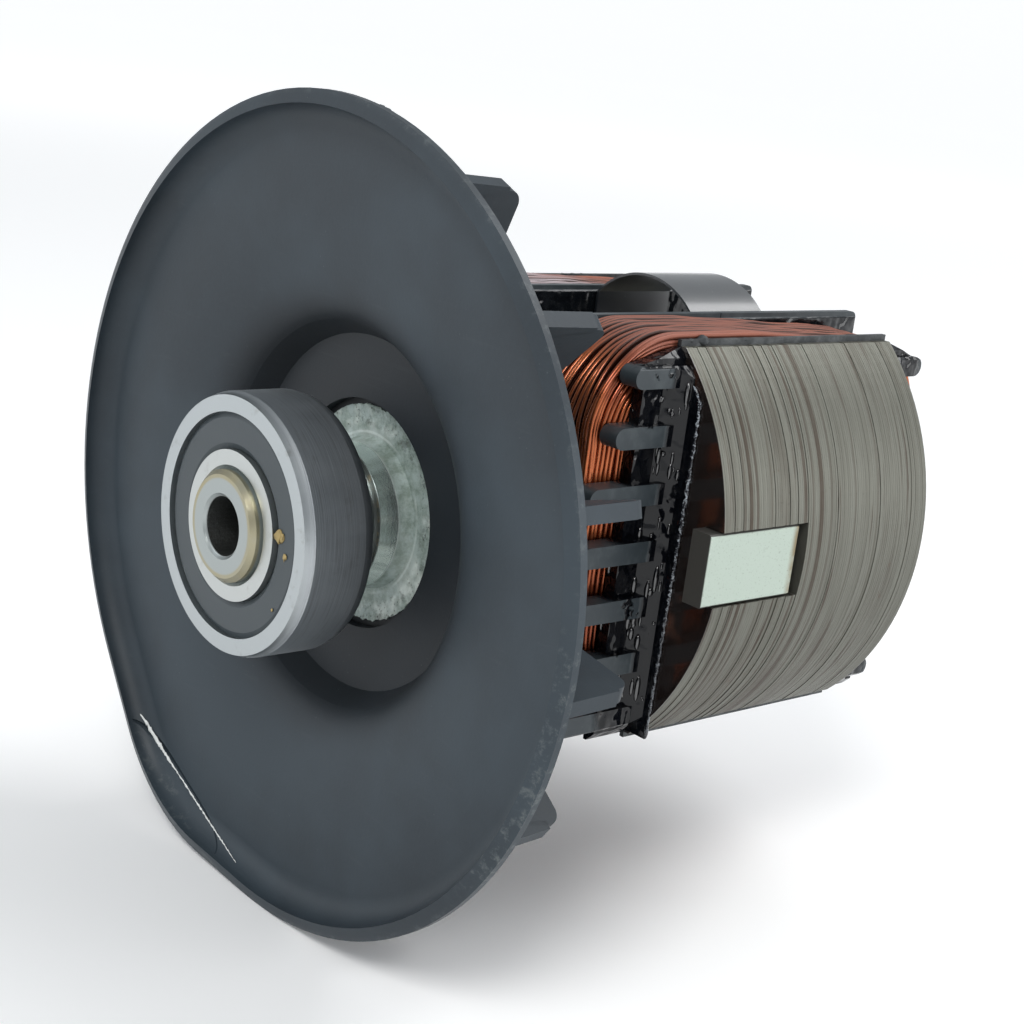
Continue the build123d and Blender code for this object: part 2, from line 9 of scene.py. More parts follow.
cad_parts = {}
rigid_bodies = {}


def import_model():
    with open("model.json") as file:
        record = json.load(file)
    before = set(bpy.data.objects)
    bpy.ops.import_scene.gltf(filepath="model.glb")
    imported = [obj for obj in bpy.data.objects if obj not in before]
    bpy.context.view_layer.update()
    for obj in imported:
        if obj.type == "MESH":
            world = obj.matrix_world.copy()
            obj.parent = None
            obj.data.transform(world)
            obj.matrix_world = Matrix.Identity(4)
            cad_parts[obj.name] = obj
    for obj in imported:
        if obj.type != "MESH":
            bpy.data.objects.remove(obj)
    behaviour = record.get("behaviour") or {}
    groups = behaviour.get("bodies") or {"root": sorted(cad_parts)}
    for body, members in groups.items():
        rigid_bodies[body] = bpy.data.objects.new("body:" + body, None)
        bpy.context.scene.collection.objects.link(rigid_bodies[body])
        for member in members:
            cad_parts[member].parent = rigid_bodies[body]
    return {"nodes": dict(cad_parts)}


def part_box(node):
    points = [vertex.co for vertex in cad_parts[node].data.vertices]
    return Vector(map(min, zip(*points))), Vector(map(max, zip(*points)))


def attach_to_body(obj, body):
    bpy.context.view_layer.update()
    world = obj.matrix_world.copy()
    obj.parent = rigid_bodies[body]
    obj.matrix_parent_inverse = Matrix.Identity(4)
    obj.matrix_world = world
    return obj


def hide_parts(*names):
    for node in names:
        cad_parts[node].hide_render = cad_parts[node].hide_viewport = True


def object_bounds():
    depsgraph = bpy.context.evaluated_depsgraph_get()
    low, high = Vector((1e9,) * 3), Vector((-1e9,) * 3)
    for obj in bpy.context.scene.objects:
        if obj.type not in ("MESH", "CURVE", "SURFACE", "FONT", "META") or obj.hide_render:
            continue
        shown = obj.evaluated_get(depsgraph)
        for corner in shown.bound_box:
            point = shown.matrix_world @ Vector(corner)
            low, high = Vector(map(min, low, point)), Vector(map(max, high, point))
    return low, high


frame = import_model()
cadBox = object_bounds()
mm = 0.001
nodes = frame["nodes"]
print("frame loaded:", len(nodes), "nodes")


# Shader maths written as sums: a Value is one socket of a Paint's tree
class Value:
    def __init__(self, paint, socket):
        self.paint = paint
        self.socket = socket

    def math(self, operation, *others):
        return self.paint.node("ShaderNodeMath", {"operation": operation}, [self, *others])

    def __add__(self, other):
        return self.math("ADD", other)

    def __radd__(self, other):
        return self.math("ADD", other)

    def __sub__(self, other):
        return self.math("SUBTRACT", other)

    def __rsub__(self, other):
        return self.paint.node("ShaderNodeMath", {"operation": "SUBTRACT"}, [other, self])

    def __mul__(self, other):
        return self.math("MULTIPLY", other)

    def __rmul__(self, other):
        return self.math("MULTIPLY", other)

    def clamped(self):
        return self.paint.node("ShaderNodeClamp", {}, [self])

    def step(self, low, high):  # 0 below low, 1 above high, smooth between
        return self.paint.node("ShaderNodeMapRange", {"interpolation_type": "SMOOTHSTEP"}, [self, low, high])

    def band(self, low, high, edge):  # 1 between low and high
        return self.step(low - edge, low) * (1 - self.step(high, high + edge))


def inMm(*sizes):
    return tuple(size * mm for size in sizes)


class Paint:
    def __init__(self, name, metallic=0.0, coat=0.0, coatRoughness=0.05, specular=0.5):
        self.material = bpy.data.materials.new(name)
        self.material.use_nodes = True
        self.tree = self.material.node_tree
        self.surface = self.tree.nodes["Principled BSDF"]
        self.surface.inputs["Metallic"].default_value = metallic
        self.surface.inputs["Coat Weight"].default_value = coat
        self.surface.inputs["Coat Roughness"].default_value = coatRoughness
        self.surface.inputs["Specular IOR Level"].default_value = specular
        self.place = self.node("ShaderNodeTexCoord", {}, [], output="Object")
        self.x, self.y, self.z = (
            self.node("ShaderNodeSeparateXYZ", {}, [self.place], output=axis) for axis in ("X", "Y", "Z")
        )

    def node(self, kind, settings, inputs, output=0):
        made = self.tree.nodes.new(kind)
        for key, setting in settings.items():
            if key == "stops":
                while len(made.color_ramp.elements) < len(setting):
                    made.color_ramp.elements.new(0.5)
                for element, (position, colour) in zip(made.color_ramp.elements, setting):
                    element.position = position
                    element.color = (*colour, 1)
            else:
                setattr(made, key, setting)
        pairs = inputs.items() if isinstance(inputs, dict) else enumerate(inputs)
        for key, given in pairs:
            if isinstance(given, Value):
                self.tree.links.new(given.socket, made.inputs[key])
            elif given is not None:
                made.inputs[key].default_value = given
        return Value(self, made.outputs[output])

    def stretched(self, *scales):  # the place with each axis scaled, for streaks
        return self.node("ShaderNodeVectorMath", {"operation": "MULTIPLY"}, [self.place, scales])

    def noise(self, scale, detail=3.0, roughness=0.55, place=None):
        inputs = {"Vector": place or self.place, "Scale": scale, "Detail": detail, "Roughness": roughness}
        return self.node("ShaderNodeTexNoise", {}, inputs, output="Fac")

    def cells(self, scale):
        inputs = {"Vector": self.place, "Scale": scale}
        return self.node("ShaderNodeTexVoronoi", {}, inputs, output="Distance")

    def away(self, axis):  # distance from the middle along X, Y or Z
        return getattr(self, axis).math("ABSOLUTE")

    def radius(self):  # distance from the rotor's axis
        return (self.x * self.x + self.z * self.z).math("SQRT")

    def mix(self, factor, first, second):
        made = self.tree.nodes.new("ShaderNodeMix")
        made.data_type = "RGBA"
        for socket, given in ((made.inputs[0], factor), (made.inputs[6], first), (made.inputs[7], second)):
            if isinstance(given, Value):
                self.tree.links.new(given.socket, socket)
            elif isinstance(given, tuple):
                socket.default_value = (*given, 1)
            else:
                socket.default_value = given
        return Value(self, made.outputs[2])

    def bump(self, height, distance, strength):
        inputs = {"Height": height, "Distance": distance, "Strength": strength}
        return self.node("ShaderNodeBump", {}, inputs, output="Normal")

    def finish(self, colour=None, roughness=None, normal=None, metallic=None, coat=None, glow=None):
        given = {
            "Base Color": colour, "Roughness": roughness, "Normal": normal,
            "Metallic": metallic, "Coat Weight": coat, "Emission Color": glow,
        }
        for name, part in given.items():
            if isinstance(part, Value):
                self.tree.links.new(part.socket, self.surface.inputs[name])
            elif isinstance(part, tuple):
                self.surface.inputs[name].default_value = (*part, 1)
            elif part is not None:
                self.surface.inputs[name].default_value = part
        return self.material


# Fan: black moulding that has gone grey with handling, paler along its lip, darker round the hub as painted
# shade in the hollow there
fanLook = {
    "dark": (0.0168, 0.0236, 0.0302), "pale": (0.0300, 0.0425, 0.0535),
    "worn": (0.10, 0.115, 0.118), "mouthShade": (0.006, 0.0075, 0.010),
    "edge": (63.4, 64.3), "lip": (61.7, 62.4), "mouth": (29, 38),
    "wearSide": (20, 45), "wearHeights": (-34, -2, 9),
}


def fanPaint(look):
    paint = Paint("fanPlastic", specular=0.34)
    radius = paint.radius()
    clouds = paint.noise(26, 4, 0.6)
    grain = paint.noise(1400, 2, 0.5)
    specks = (1 - paint.cells(620).step(0.0, 0.11)) * paint.noise(90, 2).step(0.52, 0.62)
    edge = radius.step(*inMm(*look["edge"]))
    lip = radius.step(*inMm(*look["lip"]))
    scuffs = paint.noise(520, 6, 0.75).step(0.50, 0.68)
    scratches = paint.noise(1, 3, 0.6, paint.stretched(60, 900, 900)).step(0.6, 0.75)
    wear = paint.x.step(*inMm(*look["wearSide"])) * paint.z.band(*inMm(*look["wearHeights"]))
    mouth = 1 - radius.step(*inMm(*look["mouth"]))
    colour = paint.mix(clouds.step(0.35, 0.68), look["dark"], look["pale"])
    colour = paint.mix(grain * 0.35, colour, look["pale"])
    # painted shade: the hollow round the hub is darkened in the colour
    colour = paint.mix(mouth * 0.72, colour, look["mouthShade"])
    colour = paint.mix((edge * 0.55 + lip * wear * 0.8).clamped() * scuffs * 0.8, colour, look["worn"])
    colour = paint.mix(specks * 0.4 + scratches * 0.05, colour, look["worn"])
    height = grain + paint.noise(5200, 2) * 0.5
    normal = paint.bump(height, 0.00005, 0.35)
    return paint.finish(colour, 0.46 + clouds * 0.12 - edge * 0.08, normal)


# Bearing steel: ground faces, and an outside with fine marks round it that spread the light along the ring
steelLook = {
    "bright": (0.43, 0.46, 0.47), "inner": (0.50, 0.52, 0.51), "ground": (0.52, 0.55, 0.57),
    "stain": (0.15, 0.13, 0.11), "innerRing": (12, 13), "outside": (19.55, 19.9),
}


def bearingPaint(look):
    paint = Paint("bearingSteel", metallic=1.0)
    radius = paint.radius()
    lines = paint.noise(1, 2, 0.6, paint.stretched(60, 2900, 60))
    streaks = paint.noise(1, 3, 0.6, paint.stretched(140, 2400, 140))
    marks = paint.noise(1, 3, 0.6, paint.stretched(900, 260, 900))
    outside = radius.step(*inMm(*look["outside"]))
    clouds = paint.noise(110, 4, 0.65)
    stains = paint.noise(260, 5, 0.65).step(0.58, 0.74)
    dirt = stains * (0.35 - outside * 0.2) + outside * streaks.step(0.5, 0.75) * 0.25
    colour = paint.mix(1 - radius.step(*inMm(*look["innerRing"])), look["bright"], look["inner"])
    colour = paint.mix(outside, colour, look["ground"])
    colour = paint.mix(dirt, colour, look["stain"])
    normal = paint.bump(lines, 0.000030, 0.12 + outside * 0.88)
    return paint.finish(colour, 0.22 + marks * 0.10 + clouds * 0.12 + outside * 0.12, normal)


sealLook = {"rubber": (0.022, 0.032, 0.040), "dust": (0.09, 0.105, 0.105)}


def sealPaint(look):
    paint = Paint("sealRubber", specular=0.5)
    clouds = paint.noise(70, 4, 0.6)
    crumbs = (1 - paint.cells(900).step(0.0, 0.10)) * paint.noise(150, 3).step(0.55, 0.65)
    colour = paint.mix(clouds * 0.35 + crumbs * 0.8, look["rubber"], look["dust"])
    return paint.finish(colour, 0.36 + clouds * 0.15, paint.bump(paint.noise(2600, 2), 0.00003, 0.3))


shaftLook = {
    "steel": (0.36, 0.39, 0.385), "brassy": (0.36, 0.32, 0.20), "bore": (0.030, 0.024, 0.019),
    "boreEdge": (4.35, 4.7), "shoulder": (7.4, 8.6, 0.4), "shoulderEnd": (-6.4, -6.0),
}


def shaftPaint(look):
    paint = Paint("shaftSteel", metallic=1.0)
    radius = paint.radius()
    bore = 1 - radius.step(*inMm(*look["boreEdge"]))
    shoulder = radius.band(*inMm(*look["shoulder"])) * (1 - paint.y.step(*inMm(*look["shoulderEnd"])))
    clouds = paint.noise(220, 4, 0.6)
    lines = paint.noise(1, 4, 0.7, paint.stretched(200, 5200, 200))
    rough = paint.noise(1700, 5, 0.75)
    colour = paint.mix(shoulder * (0.45 + clouds * 0.7), look["steel"], look["brassy"])
    colour = paint.mix(bore * (1 - rough.step(0.56, 0.72) * 0.5), colour, look["bore"])
    normal = paint.bump(lines * (1 - bore) + rough * bore * 8, 0.00005, 0.5)
    return paint.finish(colour, 0.27 + clouds * 0.12 + bore * 0.2, normal)


# Die-cast insert: grey, mottled green and white, pitted where it is torn, with painted highlights as pale
# rings at the boss's front edge and further out on the fillet
insertLook = {
    "cast": (0.44, 0.52, 0.50), "white": (0.78, 0.84, 0.80), "green": (0.24, 0.30, 0.26),
    "boss": (0.085, 0.09, 0.085), "brown": (0.30, 0.24, 0.15), "bright": (0.85, 0.90, 0.88),
    "pit": (0.05, 0.06, 0.05), "rust": (0.16, 0.08, 0.04),
    "torn": (13.4, 14.6), "bossEdge": (11.05, 11.2),
    "highlightLip": (11.2, 11.38, 0.1), "faintLip": (12.7, 12.9, 0.2),
}


def insertPaint(look):
    paint = Paint("insertCasting", specular=0.6)
    radius = paint.radius()
    torn = radius.step(*inMm(*look["torn"]))
    mottle = paint.noise(420, 6, 0.75)
    bloom = paint.noise(130, 4, 0.6)
    pits = 1 - paint.cells(1500).step(0.03, 0.30)
    rust = paint.noise(520, 4, 0.7).step(0.70, 0.76) * torn
    colour = paint.mix(mottle.step(0.36, 0.66), look["cast"], look["green"])
    colour = paint.mix(bloom.step(0.48, 0.66) * (0.25 + torn * 0.7), colour, look["white"])
    patches = paint.noise(240, 5, 0.75).step(0.54, 0.62) * torn
    colour = paint.mix(pits * torn * mottle.step(0.42, 0.55) * 0.85 + patches * 0.45, colour, look["pit"])
    colour = paint.mix(rust * 0.5, colour, look["rust"])
    boss = 1 - radius.step(*inMm(*look["bossEdge"]))
    # painted highlights: a bright ring at the boss's front edge and a faint ring further out
    highlightCrescent = radius.band(*inMm(*look["highlightLip"]))
    faintHighlight = radius.band(*inMm(*look["faintLip"])) * bloom.step(0.35, 0.6)
    colour = paint.mix(boss * 0.85, colour, look["boss"])
    colour = paint.mix(boss * paint.noise(700, 3, 0.7).step(0.56, 0.66) * 0.7, colour, look["brown"])
    colour = paint.mix((highlightCrescent * 0.9 + faintHighlight * 0.4).clamped(), colour, look["bright"])
    lip = (boss * 0.6 + highlightCrescent).clamped()
    normal = paint.bump(mottle * (0.25 + torn) - pits * torn * 0.7, 0.00025, 0.6)
    return paint.finish(colour, 0.46 - lip * 0.28 + torn * 0.12, normal, metallic=0.35 + lip * 0.6)


# Stack: sheared edges of the plates, grey with brown lines, dark varnish on its end faces
plateLook = {
    "steel": (0.122, 0.120, 0.100), "pale": (0.185, 0.188, 0.162), "brown": (0.046, 0.029, 0.019),
    "varnish": (0.012, 0.0085, 0.0075), "amber": (0.060, 0.026, 0.016), "rust": (0.10, 0.045, 0.022),
    "lines": (  # place along the axis, half width and depth of each brown line
        (59.3, 0.20, 0.7), (60.7, 0.34, 0.95), (62.2, 0.20, 0.8), (65.6, 0.14, 0.5), (73.6, 0.26, 0.9),
        (75.6, 0.16, 0.7), (77.7, 0.45, 0.95), (80.2, 0.14, 0.5), (86.4, 0.12, 0.45), (92.3, 0.12, 0.4),
    ),
    "lineEdge": 0.14, "endSkin": (0.05, 0.12),
}


def platePaint(look):
    paint = Paint("laminationSteel", metallic=0.75, coatRoughness=0.08)
    low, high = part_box("lamination_stack")
    thin, thick = inMm(*look["endSkin"])
    ends = 1 - paint.y.step(low.y + thin, low.y + thick) + paint.y.step(high.y - thick, high.y - thin)
    fine = paint.noise(1, 2, 0.5, paint.stretched(34, 3600, 34))
    groups = paint.noise(1, 4, 0.7, paint.stretched(22, 820, 22))
    wide = paint.noise(1, 3, 0.6, paint.stretched(16, 120, 16))
    clouds = paint.noise(75, 5, 0.65)
    specks = paint.noise(1500, 4, 0.7).step(0.60, 0.74)
    rust = paint.noise(300, 4, 0.7).step(0.62, 0.72)
    colour = paint.mix(groups.step(0.35, 0.65) * 0.7 + fine * 0.3, look["steel"], look["pale"])
    colour = paint.mix(groups.step(0.56, 0.66) * (0.30 + clouds * 0.9), colour, look["brown"])
    colour = paint.mix(wide.step(0.50, 0.68) * 0.38 + specks * 0.30, colour, look["brown"])
    colour = paint.mix(rust * wide.step(0.45, 0.6) * 0.35, colour, look["rust"])
    amber = paint.noise(95, 3, 0.6).step(0.55, 0.70)
    varnish = paint.mix(amber, look["varnish"], look["amber"])
    for middle, half, depth in look["lines"]:
        line = paint.y.band(*inMm(middle - half, middle + half, look["lineEdge"]))
        colour = paint.mix(line * (0.35 + clouds * 0.8) * depth, colour, look["brown"])
    colour = paint.mix(ends, colour, varnish)
    normal = paint.bump(fine * 0.6 + groups + specks * 0.3, 0.00012, 0.5 - ends * 0.45)
    return paint.finish(
        colour, 0.44 + clouds * 0.12 - ends * 0.32, normal, metallic=0.72 - ends * 0.72, coat=ends * 0.6
    )


# Magnets: pale ground face with dirt, dark sides, a brown glow of glue at the rear edge
magnetLook = {
    "face": (0.40, 0.47, 0.41), "side": (0.055, 0.053, 0.048), "edge": (0.17, 0.105, 0.030),
    "line": (0.62, 0.64, 0.62), "dirt": (0.11, 0.125, 0.095),
    "faceFrom": (43.25, 43.35), "glowFrom": (70.9, 72.3), "lineTo": (52.1, 52.4),
}


def magnetPaint(look):
    paint = Paint("magnetFerrite", specular=0.4)
    face = paint.away("x").step(*inMm(*look["faceFrom"]))
    specks = paint.noise(2600, 3, 0.7).step(0.58, 0.68)
    clouds = paint.noise(180, 3, 0.6)
    glow = paint.y.step(*inMm(*look["glowFrom"])) * clouds.step(0.25, 0.6)
    line = 1 - paint.y.step(*inMm(*look["lineTo"]))
    dirt = paint.noise(900, 4, 0.75).step(0.60, 0.72) * clouds.step(0.4, 0.6)
    colour = paint.mix(specks * 0.45 + dirt * 0.35, look["face"], look["dirt"])
    colour = paint.mix(glow * 0.85, colour, look["edge"])
    colour = paint.mix(line * specks.step(0.0, 0.3) * 0.8, colour, look["line"])
    colour = paint.mix(face, look["side"], colour)
    return paint.finish(colour, 0.5 - face * 0.05, paint.bump(specks + clouds, 0.00004, 0.4))


# Winding frames: black moulding, satin on the fingers, wet with varnish at the wall and between the flanges
framesLook = {
    "black": (0.0025, 0.003, 0.0045), "satin": (0.031, 0.040, 0.046), "dust": (0.066, 0.079, 0.085),
    "fingerFace": (31.65, 31.8), "fingerRoot": (50.4, 51.6), "fingerWet": (-25.5, -24),
    "flangeTop": (32.8, 33.3), "outerFrom": (20, 22), "wetFront": (9, 6), "wetRear": (3, 6), "runs": 5,
}


def framePaint(look):
    paint = Paint("framePlastic", specular=0.34)
    stackLow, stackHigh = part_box("lamination_stack")
    runs = paint.noise(170, 3, 0.6) * (look["runs"] * mm)
    wall = (paint.y + runs).step(*(stackLow.y - before for before in inMm(*look["wetFront"])))
    wall = wall * (1 - (paint.y - runs).step(*(stackHigh.y + behind for behind in inMm(*look["wetRear"]))))
    outer = paint.away("x").step(*inMm(*look["outerFrom"]))
    inner = (1 - outer) * (1 - paint.away("z").step(*inMm(*look["flangeTop"])))
    face = paint.away("x").step(*inMm(*look["fingerFace"])) * (1 - paint.y.step(*inMm(*look["fingerRoot"])))
    face = face * paint.z.step(*inMm(*look["fingerWet"]))
    smears = paint.noise(240, 3, 0.6).step(0.60, 0.66)
    wet = (wall * outer * (1 - face * (1 - smears)) + inner * 0.9).clamped()
    lumps = paint.noise(380, 1, 0.4)
    dust = paint.noise(420, 4, 0.6)
    colour = paint.mix(dust.step(0.45, 0.75) * 0.5, look["satin"], look["dust"])
    colour = paint.mix(wet, colour, look["black"])
    normal = paint.bump(lumps * wet + dust * 0.05, 0.0012, 0.7)
    return paint.finish(colour, 0.42 - wet * 0.33, normal)


# Coil wire: bright enamelled copper at the turns, matt and brown on top where varnish has dried, with painted
# shade on the wire flanks that face the next turn
wireLook = {
    "copper": (0.46, 0.125, 0.042), "deep": (0.19, 0.040, 0.016), "matt": (0.240, 0.078, 0.048),
    "frost": (0.52, 0.47, 0.50), "gap": (0.020, 0.007, 0.004),
    "topFrom": (28.5, 33.5), "frostSide": (-14, -12), "frostFrom": (33, 34), "sideTurns": (26.2, 26.9),
}


def wirePaint(look):
    paint = Paint("coilWire", metallic=0.9, coatRoughness=0.12, specular=0.5)
    top = paint.z.step(*inMm(*look["topFrom"]))
    patches = paint.noise(60, 3, 0.6)
    fine = paint.noise(420, 4, 0.65)
    colour = paint.mix(patches.step(0.35, 0.7), look["copper"], look["deep"])
    colour = paint.mix(top * 0.92, colour, look["matt"])
    frost = (1 - paint.x.step(*inMm(*look["frostSide"]))) * paint.z.step(*inMm(*look["frostFrom"]))
    colour = paint.mix(frost * 0.85, colour, look["frost"])
    # painted shade: the sides of each wire that face the next turn are darkened, except on the coil's outer
    # side face
    facing = paint.node("ShaderNodeTexCoord", {}, [], output="Normal")
    sideways = paint.node("ShaderNodeSeparateXYZ", {}, [facing], output="X").math("ABSOLUTE")
    gap = sideways.step(0.30, 0.80) * (1 - paint.away("x").step(*inMm(*look["sideTurns"])))
    colour = paint.mix(gap * 0.9, colour, look["gap"])
    return paint.finish(
        colour, 0.22 + top * 0.28 + fine * 0.12, paint.bump(fine, 0.00005, 0.3),
        metallic=0.92 - top * 0.67, coat=0.35 - top * 0.3,
    )


linerLook = {"board": (0.022, 0.026, 0.029), "edge": (0.085, 0.092, 0.095)}


def linerPaint(look):
    paint = Paint("linerBoard", specular=0.4)
    clouds = paint.noise(260, 5, 0.7)
    colour = paint.mix(clouds.step(0.40, 0.72), look["board"], look["edge"])
    return paint.finish(colour, 0.5, paint.bump(clouds, 0.00030, 0.6))


# Films: glossy, with pale dust and a greyer outer face
filmLook = {
    "film": (0.010, 0.012, 0.016), "dust": (0.12, 0.13, 0.13),
    "outside": (0.055, 0.062, 0.066), "outsideFrom": (33, 36),
}


def filmPaint(look):
    paint = Paint("insulationFilm", coat=0.7, coatRoughness=0.16, specular=0.6)
    waves = paint.noise(60, 2, 0.5)
    dust = paint.noise(900, 3, 0.7).step(0.66, 0.74)
    outside = paint.radius().step(*inMm(*look["outsideFrom"]))
    colour = paint.mix(dust * 0.5, look["film"], look["dust"])
    colour = paint.mix(outside * 0.5, colour, look["outside"])
    return paint.finish(colour, 0.26 + waves * 0.10, paint.bump(waves, 0.0006, 0.5))


def plainPaint(name, colour, roughness, grainScale, metallic=0.0):  # small hidden parts
    paint = Paint(name, metallic=metallic)
    clouds = paint.noise(grainScale, 4, 0.6)
    darker = tuple(part * 0.6 for part in colour)
    return paint.finish(
        paint.mix(clouds, darker, colour), roughness + clouds * 0.1, paint.bump(clouds, 0.00005, 0.4)
    )


paints = {
    "fan": fanPaint(fanLook),
    "bearing": bearingPaint(steelLook),
    "seal": sealPaint(sealLook),
    "shaft": shaftPaint(shaftLook),
    "insert": insertPaint(insertLook),
    "plates": platePaint(plateLook),
    "magnet": magnetPaint(magnetLook),
    "frames": framePaint(framesLook),
    "wire": wirePaint(wireLook),
    "liner": linerPaint(linerLook),
    "film": filmPaint(filmLook),
    "cage": plainPaint("cageSteel", (0.55, 0.53, 0.50), 0.3, 300, 1.0),
    "diode": plainPaint("diodeEpoxy", (0.035, 0.035, 0.038), 0.35, 200),
    "sleeve": plainPaint("leadSleeve", (0.55, 0.52, 0.42), 0.7, 900),
    "core": plainPaint("coilCore", (0.10, 0.030, 0.014), 0.55, 400, 0.3),
    # white for the crack: painted light standing for the background seen through it
    "crackLight": plainPaint("stressWhite", (0.88, 0.90, 0.88), 0.75, 1500),
    "fleck": plainPaint("glueFleck", (0.42, 0.31, 0.12), 0.6, 1300),
}
wears = {
    "fan": "fan", "fan_insert": "insert", "shaft": "shaft", "bearing_balls": "bearing",
    "bearing_inner_ring": "bearing", "bearing_outer_ring": "bearing", "bearing_cage_front": "cage",
    "bearing_cage_rear": "cage", "bearing_cage_rivets": "cage", "bearing_front_seal": "seal",
    "bearing_rear_seal": "seal", "lamination_stack": "plates", "magnet_near": "magnet",
    "magnet_far": "magnet", "winding_frame_front": "frames", "winding_frame_rear": "frames",
    "diode_top": "diode", "diode_bottom": "diode", "coil_near": "wire", "coil_far": "wire",
    "insulation_film_top": "film", "insulation_film_bottom": "film",
}
for name, node in nodes.items():
    kind = wears.get(name) or ("liner" if name.startswith("slot_liner") else "sleeve")
    node.data.materials.clear()
    node.data.materials.append(paints[kind])
print("materials on the carried-over nodes")


def linked(name, data):
    piece = bpy.data.objects.new(name, data)
    bpy.context.scene.collection.objects.link(piece)
    return piece


def onCircle(radius, degrees):
    return radius * math.cos(math.radians(degrees)), radius * math.sin(math.radians(degrees))


def ringFaces(low, high, steps):  # quads between two closed rings of points, by their first numbers
    turns = [(step, (step + 1) % steps) for step in range(steps)]
    return [(low + here, low + after, high + after, high + here) for here, after in turns]


def sleeveFaces(rings, steps):  # a closed row of such rings
    pairs = [(ring * steps, (ring + 1) % rings * steps) for ring in range(rings)]
    return [face for low, high in pairs for face in ringFaces(low, high, steps)]


def prismFaces(corners):
    return [tuple(range(corners)), tuple(range(corners, 2 * corners)), *ringFaces(0, corners, corners)]


def meshPiece(name, points, faces, paint, smooth=True):
    mesh = bpy.data.meshes.new(name)
    mesh.from_pydata([tuple(point) for point in points], [], faces)
    mesh.validate()
    piece = linked(name, mesh)
    tidyMesh(piece, paint, smooth)
    return piece


weldDistance = 1e-7


def tidyMesh(piece, paint, smooth=True):
    shape = bmesh.new()
    shape.from_mesh(piece.data)
    bmesh.ops.remove_doubles(shape, verts=shape.verts, dist=weldDistance)
    bmesh.ops.recalc_face_normals(shape, faces=shape.faces)
    for face in shape.faces:
        face.smooth = smooth
    shape.to_mesh(piece.data)
    shape.free()
    piece.data.materials.clear()
    piece.data.materials.append(paint)


def attach(piece, body, slot, *replaced):
    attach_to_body(piece, body)
    if replaced:
        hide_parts(*replaced)
    return piece


def applied(piece):  # the evaluated mesh as a plain one, with its modifiers gone
    bpy.context.view_layer.update()
    graph = bpy.context.evaluated_depsgraph_get()
    mesh = bpy.data.meshes.new_from_object(piece.evaluated_get(graph))
    name = piece.name
    bpy.data.objects.remove(piece)
    return linked(name, mesh)


# Node trees that repeat: a small builder like the one for shaders
class Growth:
    def __init__(self, name, inputs):
        self.tree = bpy.data.node_groups.new(name, "GeometryNodeTree")
        self.tree.interface.new_socket("Geometry", in_out="INPUT", socket_type="NodeSocketGeometry")
        self.tree.interface.new_socket("Geometry", in_out="OUTPUT", socket_type="NodeSocketGeometry")
        self.ids = {}
        for label, kind in inputs.items():
            socket = self.tree.interface.new_socket(label, in_out="INPUT", socket_type=kind)
            self.ids[label] = socket.identifier
        self.entry = self.tree.nodes.new("NodeGroupInput")
        self.exit = self.tree.nodes.new("NodeGroupOutput")

    def given(self, label):
        return self.entry.outputs[label]

    def node(self, kind, settings, inputs, output=0):
        made = self.tree.nodes.new(kind)
        for key, setting in settings.items():
            setattr(made, key, setting)
        for key, value in inputs.items():
            if isinstance(value, bpy.types.NodeSocket):
                self.tree.links.new(value, made.inputs[key])
            else:
                made.inputs[key].default_value = value
        return made.outputs[output]

    def attribute(self, name):
        return self.node("GeometryNodeInputNamedAttribute", {"data_type": "FLOAT"}, {"Name": name})

    def math(self, operation, *values):
        return self.node("ShaderNodeMath", {"operation": operation}, dict(enumerate(values)))

    def instances(self, points, instance, **turns):
        given = {"Points": points, "Instance": instance, **turns}
        return self.node("GeometryNodeInstanceOnPoints", {}, given)

    def close(self, geometry, material):
        whole = self.node("GeometryNodeRealizeInstances", {}, {"Geometry": geometry})
        painted = self.node("GeometryNodeSetMaterial", {}, {"Geometry": whole, "Material": material})
        self.tree.links.new(painted, self.exit.inputs["Geometry"])

    def grow(self, piece, values):
        modifier = piece.modifiers.new("growth", "NODES")
        modifier.node_group = self.tree
        for label, value in values.items():
            modifier[self.ids[label]] = value
        return applied(piece)


# Coils: two layers of single wires, wandering a little as hand-guided turns do, over a dark core painted as
# the shade of the inner turns
coil = {
    "innerX": 13.65, "wirePitch": 1.035, "across": 14, "height": 14.2, "bed": 19.95, "corner": 2.0,
    "frontY": 52.35, "rearY": 107.65, "wireRadius": 0.465, "sides": 9, "straightStep": 2.2, "arcSteps": 22,
    "layers": 2, "layerStep": 0.88, "sideTurns": 12, "sideShift": 0.3, "coreDepth": 1.9,
    "wander": 1.5, "quickShare": 0.30, "lift": 0.672, "seed": 3.7,
    "slopeStart": 68.5, "rearDrop": 2.8, "rearReach": 10.5, "bottomDrop": 2.2,
    "bundles": (0, 0, 1, 1, 1, 2, 2, 3, 3, 3, 4, 4, 5, 5, 5), "sideBundle": 20,
}


def loopPoints(grow, size):
    # Rounded rectangle round the neck, grown outwards, as (y, z) in mm, even along its length
    radius = size["corner"] + grow
    midY = (size["frontY"] + size["rearY"]) / 2
    halfY = (size["rearY"] - size["frontY"]) / 2 - size["corner"]
    halfZ = size["bed"] - size["corner"]
    points = []
    for signY, signZ, start in ((1, 1, 0), (-1, 1, 90), (-1, -1, 180), (1, -1, 270)):
        for step in range(size["arcSteps"] + 1):
            outY, outZ = onCircle(radius, start + 90 * step / size["arcSteps"])
            points.append((midY + signY * halfY + outY, signZ * halfZ + outZ))
        length = 2 * (halfY if start in (0, 180) else halfZ)
        lastY, lastZ = points[-1]
        wayY, wayZ = {0: (-1, 0), 90: (0, -1), 180: (1, 0), 270: (0, 1)}[start]
        count = int(length / size["straightStep"])
        for step in range(1, count):
            along = length * step / count
            points.append((lastY + wayY * along, lastZ + wayZ * along))
    return [drawnIn(y, z, size) for y, z in points]


